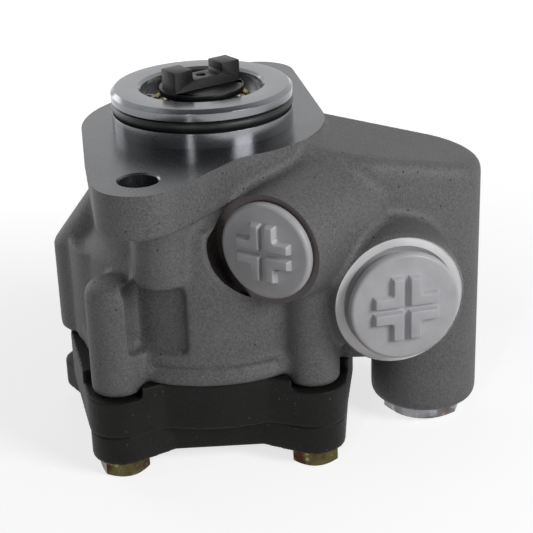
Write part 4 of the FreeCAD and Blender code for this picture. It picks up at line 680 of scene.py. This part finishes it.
def belt(rounds):
    """A closed outline of arcs joined by tangent lines, drawn anticlockwise.

    Each round is x, y, diameter and a sign: +1 bulges out, -1 is a hollow.
    """
    spots = [Vector((x, y)) for x, y, dia, sign in rounds]
    reach = [sign * dia / 2 for x, y, dia, sign in rounds]
    total = len(rounds)
    leave = []
    for i in range(total):
        j = (i + 1) % total
        run = spots[j] - spots[i]
        ahead = run.normalized()
        right = Vector((ahead.y, -ahead.x))
        lean = (reach[i] - reach[j]) / run.length
        leave.append(ahead * lean + right * math.sqrt(1 - lean * lean))
    points = []
    for i in range(total):
        start = math.atan2(leave[i - 1].y, leave[i - 1].x)
        end = math.atan2(leave[i].y, leave[i].x)
        span = (end - start) % (2 * math.pi)
        if reach[i] < 0:
            span -= 2 * math.pi
        steps = max(1, round(abs(span) / math.radians(BELT_STEP)))
        for k in range(steps + 1):
            a = start + span * k / steps
            points.append(spots[i] + Vector((math.cos(a), math.sin(a))) * reach[i])
    return points


def welded(node, name):
    """A construction node's shape as a new piece, its seams closed."""
    bm = bmesh.new()
    bm.from_mesh(NODES[node].data)
    bmesh.ops.remove_doubles(bm, verts=bm.verts, dist=TINY)
    return piece_from(bm, name)


def join(pieces, name):
    """Several objects as one mesh."""
    bm = bmesh.new()
    for piece in pieces:
        bm.from_mesh(piece.data)
        bpy.data.objects.remove(piece)
    return piece_from(bm, name)


def applied(piece):
    """Bake a piece's modifiers into its mesh."""
    graph = bpy.context.evaluated_depsgraph_get()
    baked = bpy.data.meshes.new_from_object(piece.evaluated_get(graph))
    piece.modifiers.clear()
    piece.data = baked
    return piece


def skin(piece, voxel):
    """Fuse overlapping solids into one even skin."""
    mod = piece.modifiers.new("skin", "REMESH")
    mod.mode = "VOXEL"
    mod.voxel_size = voxel * MM
    mod.use_smooth_shade = True


def swell(piece, reach):
    """Move a piece's skin outwards by so many millimetres."""
    mod = piece.modifiers.new("swell", "DISPLACE")
    mod.strength = reach * MM
    mod.mid_level = 0.0


def cast(piece, voxel, passes, fillet=0.0):
    """Fuse overlapping solids into one skin with soft cast corners and filled inner corners."""
    skin(piece, voxel)
    if fillet:
        swell(piece, fillet)
        skin(piece, voxel)
        swell(piece, -fillet)
        skin(piece, voxel)
    if passes:
        soft = piece.modifiers.new("soft", "SMOOTH")
        soft.factor = SOFTENING
        soft.iterations = passes
    return applied(piece)


def carve(piece, cutters, operation="DIFFERENCE"):
    """Cut forms out of a piece, or add them to it; each one leaves its own material."""
    for cutter in cutters:
        mod = piece.modifiers.new("cut", "BOOLEAN")
        mod.operation = operation
        mod.solver = "MANIFOLD"
        mod.object = cutter
        mod.material_mode = "TRANSFER"
    applied(piece)
    for cutter in cutters:
        bpy.data.objects.remove(cutter)
    return piece


def port_place(x, y, z, turn):
    """Place of a port: its own Z runs into the housing from the middle of its face."""
    inward = Matrix.Rotation(math.radians(turn), 4, "Z") @ Matrix.Rotation(math.radians(-90), 4, "X")
    return Matrix.Translation((x, y, z)) @ inward


def at(x, y):
    """Place of an upright shape, seen from above."""
    return Matrix.Translation((x, y, 0))


OUTLET = port_place(*OUTLET_SPOT, OUTLET_TURN)
INLET = port_place(*INLET_SPOT, INLET_TURN)

CAST = cast_aluminium()
MACHINED = machined_aluminium("machined_aluminium", (0.105, 0.108, 0.114), roughness=0.24)
# The spigot's copy of the aluminium is painted about twice as light as the faces' copy: painted light on
# its turned sides.
TURNED_PAINTED_LIGHT = machined_aluminium("turned_aluminium_painted_light", (0.23, 0.235, 0.25), roughness=0.2)
DARK = dark_casting()
# The outlet's spot-face is the same machined aluminium painted dark and reddish: a painted dark reflection.
OUTLET_FACE = machined_aluminium("outlet_face_painted_reflection", (0.07, 0.06, 0.06), roughness=0.25,
                                 centre=OUTLET_SPOT, axis=OUTLET.col[2].xyz)
# The inlet's spot-face is the same machined aluminium painted near white: a painted highlight of the lit
# ring.
INLET_FACE = machined_aluminium("inlet_face_painted_highlight", (0.86, 0.86, 0.87), roughness=0.5, metallic=0.2,
                                centre=INLET_SPOT, axis=INLET.col[2].xyz)


def flange_outline():
    """Plan of the flange: two lugs, the round middle and the hollows between them."""
    aim = math.radians(HOLLOW_TURN)
    hx, hy = HOLLOW_REACH * math.cos(aim), HOLLOW_REACH * math.sin(aim)
    rounds = []
    for side in (-1, 1):
        rounds += [(side * HOLE_X, side * HOLE_Y, LUG_DIA, 1), (side * hx, side * hy, HOLLOW_DIA, -1),
                   (0, 0, FLANGE_DISC_DIA, 1)]
    return belt(rounds)


def filled_blank():
    """The construction's housing with its bores, holes and spot-faces closed, still in several solids."""
    drive = [(0, BARREL_LOW), (FILL_BARREL_RADIUS, BARREL_LOW), (FILL_BARREL_RADIUS, FILL_BARREL_TOP),
             (FILL_DRIVE_RADIUS, FILL_BARREL_TOP), (FILL_DRIVE_RADIUS, FILL_TOP), (0, FILL_TOP)]
    fill = [
        welded("housing", "core"),
        lathe("fill_drive", drive),
        prism("fill_flange", flange_outline(), FILL_FLANGE_LOW, FILL_TOP),
        rod("fill_valve", FILL_VALVE_RADIUS, VALVE_LOW, FILL_VALVE_TOP, at(VALVE_X, VALVE_Y)),
        rod("fill_outlet", FILL_OUTLET_RADIUS, FILL_PORT_START, FILL_OUTLET_DEPTH, OUTLET),
        rod("fill_inlet", FILL_INLET_RADIUS, FILL_PORT_START, FILL_INLET_DEPTH, INLET),
    ]
    for side in (-1, 1):
        fill.append(rod("fill_hole", FILL_HOLE_RADIUS, LUG_LOW, FILL_TOP, at(side * HOLE_X, side * HOLE_Y)))
    for x, y in ((-BOLT_X, -BOLT_Y), (BOLT_X, -BOLT_Y), (BOLT_X, BOLT_Y), (-BOLT_X, BOLT_Y)):
        fill.append(rod("fill_bolt", FILL_BOLT_RADIUS, FOOT_LOW, FILL_BOLT_TOP, at(x, y)))
    return join(fill, "casting")


def housing_cutters():
    """What the machining takes off the raw casting. Each cutter brings the material that it leaves; the
    outlet and inlet spot-face materials carry a painted dark reflection and a painted highlight.
    """
    over, under, below = SPIGOT_TOP + CUT_OVER, FOOT_LOW - CUT_UNDER_BARREL, VALVE_LOW - CUT_UNDER_VALVE
    mouth = MOUTH_RADIUS + MOUTH_CHAMFER
    drive = [
        (0, over), (mouth, over), (mouth, SPIGOT_TOP), (MOUTH_RADIUS, SPIGOT_TOP - MOUTH_CHAMFER),
        (MOUTH_RADIUS, CIRCLIP_HIGH), (CIRCLIP_RADIUS, CIRCLIP_HIGH), (CIRCLIP_RADIUS, CIRCLIP_LOW),
        (MOUTH_RADIUS, CIRCLIP_LOW), (MOUTH_RADIUS, BEARING_LOW), (SEAL_RADIUS, BEARING_LOW),
        (SEAL_RADIUS, SEAL_LOW), (SHAFT_RADIUS, SEAL_LOW), (SHAFT_RADIUS, CARTRIDGE_TOP),
        (CARTRIDGE_RADIUS, CARTRIDGE_TOP), (CARTRIDGE_RADIUS, BARREL_LOW), (FOOT_RADIUS, BARREL_LOW),
        (FOOT_RADIUS, under), (0, under),
    ]
    valve = [
        (0, below), (VALVE_THREAD_RADIUS, below), (VALVE_THREAD_RADIUS, VALVE_THREAD_TOP),
        (VALVE_BORE_RADIUS, VALVE_THREAD_TOP), (VALVE_BORE_RADIUS, VALVE_BORE_TOP),
        (VALVE_TIP_RADIUS, VALVE_BORE_TOP), (VALVE_TIP_RADIUS, VALVE_TIP_TOP), (0, VALVE_POINT),
    ]
    outlet = [(0, -OUTLET_CLEARANCE), (OUTLET_FACE_RADIUS, -OUTLET_CLEARANCE), (OUTLET_FACE_RADIUS, 0),
              (OUTLET_THREAD_RADIUS, 0), (OUTLET_THREAD_RADIUS, OUTLET_DEPTH), (0, OUTLET_DEPTH)]
    inlet = [(0, -INLET_CLEARANCE), (INLET_FACE_RADIUS, -INLET_CLEARANCE), (INLET_FACE_RADIUS, 0),
             (INLET_THREAD_RADIUS + INLET_CHAMFER, 0), (INLET_THREAD_RADIUS, INLET_CHAMFER),
             (INLET_THREAD_RADIUS, INLET_DEPTH), (0, INLET_DEPTH)]
    hole = [(0, CUT_OVER), (HOLE_RADIUS + HOLE_CHAMFER, CUT_OVER), (HOLE_RADIUS + HOLE_CHAMFER, 0),
            (HOLE_RADIUS, -HOLE_CHAMFER), (HOLE_RADIUS, HOLE_CUT_LOW), (0, HOLE_CUT_LOW)]
    cutters = [
        rod("cut_top", CUT_TOP_RADIUS, 0, CUT_TOP_HEIGHT, steps=COARSE_STEPS),
        lathe("cut_drive", drive),
        lathe("cut_valve", valve, at(VALVE_X, VALVE_Y)),
        lathe("cut_outlet", outlet, OUTLET),
        lathe("cut_inlet", inlet, INLET),
        lathe("cut_front", hole, at(-HOLE_X, -HOLE_Y)),
        lathe("cut_rear", hole, at(HOLE_X, HOLE_Y)),
    ]
    # The spot-face materials carry painted light: the outlet's is painted dark, the inlet's near white.
    finish_and_painted_light = {"cut_outlet": OUTLET_FACE, "cut_inlet": INLET_FACE}
    for cutter in cutters:
        cutter.data.materials.append(finish_and_painted_light.get(cutter.name, MACHINED))
    return cutters


def make_spigot():
    """The turned spigot with its ring groove and chamfered mouth."""
    section = [
        (CIRCLIP_RADIUS, SPIGOT_ROOT), (SPIGOT_RADIUS, SPIGOT_ROOT),
        (SPIGOT_RADIUS, RING_GROOVE_LOW, FINE_ROUND),
        (RING_GROOVE_RADIUS, RING_GROOVE_LOW, GROOVE_ROUND),
        (RING_GROOVE_RADIUS, RING_GROOVE_HIGH, GROOVE_ROUND),
        (SPIGOT_RADIUS, RING_GROOVE_HIGH, FINE_ROUND),
        (SPIGOT_RADIUS, SPIGOT_TOP - SPIGOT_CHAMFER, EDGE_ROUND),
        (SPIGOT_RADIUS - SPIGOT_CHAMFER, SPIGOT_TOP, EDGE_ROUND),
        (MOUTH_RADIUS + MOUTH_CHAMFER, SPIGOT_TOP, FINE_ROUND),
        (MOUTH_RADIUS, SPIGOT_TOP - MOUTH_CHAMFER), (MOUTH_RADIUS, CIRCLIP_HIGH),
        (CIRCLIP_RADIUS, CIRCLIP_HIGH),
    ]
    spigot = lathe("spigot", section, steps=FINE_STEPS)
    # Its material is the lighter copy of the machined aluminium, with painted light in its tone.
    spigot.data.materials.append(TURNED_PAINTED_LIGHT)
    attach(spigot, "pump_body")
    shaded(spigot)


def make_housing():
    """The housing: a soft cast skin with crisp machined faces and bores."""
    casting = cast(filled_blank(), CAST_VOXEL, 0)
    hollows = [sector("pocket", *POCKET), sector("groove", *RIM_GROOVE)]
    casting = cast(carve(casting, hollows), CAST_VOXEL, CAST_PASSES, CAST_FILLET)
    casting.data.materials.clear()
    for slot in (CAST, MACHINED, OUTLET_FACE, INLET_FACE):
        casting.data.materials.append(slot)
    carve(casting, housing_cutters())
    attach(casting, "pump_body")
    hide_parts("housing")
    shaded(casting)


def soft_copy(node, name, material):
    """A construction node again as a soft casting."""
    piece = cast(welded(node, name), DARK_VOXEL, DARK_PASSES)
    piece.data.materials.clear()
    piece.data.materials.append(material)
    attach(piece, NODES[node]["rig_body"])
    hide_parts(node)


def angle_outline(near, far, width):
    """An L with its outer corner near a port's axis and two arms of one width."""
    reach, corner = near + width, RIB_CORNER
    return rounded([(near, near, corner), (far, near, corner), (far, reach, corner),
                    (reach, reach, RIB_HOLLOW), (reach, far, corner), (near, far, corner)])


def make_cap(name, node, place, radius, stem, stand, far, width, material):
    """A shipping plug: rounded head, hollow stem and four angled ribs with leaning sides.

    Its head's underside stands so far off the port's face; the ribs reach so far from its axis.
    """
    front = -CAP_HEAD - stand
    section = [(0, front), (radius, front, CAP_EDGE), (radius, -stand, EDGE_ROUND), (stem, -stand),
               (stem, CAP_STEM), (stem - CAP_WALL, CAP_STEM), (stem - CAP_WALL, front + CAP_FLOOR),
               (0, front + CAP_FLOOR)]
    cap = lathe(name, section, place)
    base = angle_outline(RIB_FOOT_START, far, width)
    top = angle_outline(RIB_TOP_START, far - RIB_TOP_SHORTER, width - RIB_TOP_NARROWER)
    ribs = []
    for k in range(RIB_COUNT):
        turn = place @ Matrix.Rotation(2 * math.pi * k / RIB_COUNT, 4, "Z")
        ribs.append(drafted("rib_%d" % k, base, top, front + RIB_ROOT, front - RIB_HEIGHT, turn))
    for piece in [cap] + ribs:
        piece.data.materials.append(material)
    carve(cap, ribs, "UNION")
    bevelled(cap, CAP_BEVEL, 3)
    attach(cap, NODES[node]["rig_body"])
    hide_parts(node)


def make_coil(name, node):
    """A spring again as a piece with its own mesh, in spring steel, on its node's body."""
    coil = welded(node, name)
    coil.data.materials.append(bpy.data.materials["spring_steel"])
    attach(coil, NODES[node]["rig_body"])
    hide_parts(node)
    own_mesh(coil)


# The picture

make_camera()
make_world()
make_floor()
for lamp in LAMPS:
    area_light(*lamp)
bpy.context.scene.view_settings.view_transform = "Standard"

make_housing()
make_spigot()
soft_copy("rear_body", "rear_body_casting", DARK)
soft_copy("rear_cover", "rear_cover_casting", DARK)
MILKY = milky_plastic()
make_cap("outlet_cap", "outlet_plug", OUTLET, radius=13.75, stem=8.95, stand=0.02, far=8.5, width=3.5,
         material=MILKY)
make_cap("inlet_cap", "inlet_plug", INLET, radius=15.8, stem=12.95, stand=3.1, far=9.7, width=3.9,
         material=MILKY)
YELLOW_ZINC = zinc("yellow_zinc_steel", (0.10, 0.09, 0.035), (0.05, 0.022, 0.015), (0.24, 0.28, 0.12))
BRIGHT_ZINC = zinc("bright_zinc_steel", (0.26, 0.26, 0.275), (0.14, 0.115, 0.105), (0.42, 0.44, 0.48))
dress(["cover_bolts"], YELLOW_ZINC, bevel=0.0)
dress(["valve_plug"], BRIGHT_ZINC, bevel=0.2)
dress(["claw_coupling"],
      steel("phosphated_steel", (0.020, 0.021, 0.020), roughness=0.42, metallic=0.85), bevel=0.25)
dress(["shaft", "dowel_pins", "spool", "relief_seat"],
      steel("ground_steel", (0.55, 0.55, 0.56), roughness=0.22), bevel=0.15)
dress(["bearing_inner_ring", "bearing_outer_ring", "bearing_balls", "relief_ball"],
      steel("bearing_steel", (0.6, 0.6, 0.61), roughness=0.15), bevel=0.0)
dress(["rotor", "cam_ring", "front_plate", "rear_plate"] + ["vane_%d" % (i + 1) for i in range(10)],
      steel("sintered_steel", (0.3, 0.3, 0.3), roughness=0.42), bevel=0.1)
dress(["circlip", "pressure_spring"],
      steel("spring_steel", (0.08, 0.08, 0.085), roughness=0.3), bevel=0.0)
make_coil("spool_coil", "spool_spring")
make_coil("relief_coil", "relief_spring")
dress(["bearing_cage"], steel("sheet_brass", (0.6, 0.45, 0.2), roughness=0.3), bevel=0.0)
dress(["front_bush", "rear_bush"], steel("bush_bronze", (0.5, 0.33, 0.18), roughness=0.35), bevel=0.0)
dress(["shaft_seal", "pilot_o_ring", "body_o_ring", "cover_o_ring", "plug_o_ring"], rubber(), bevel=0.0)
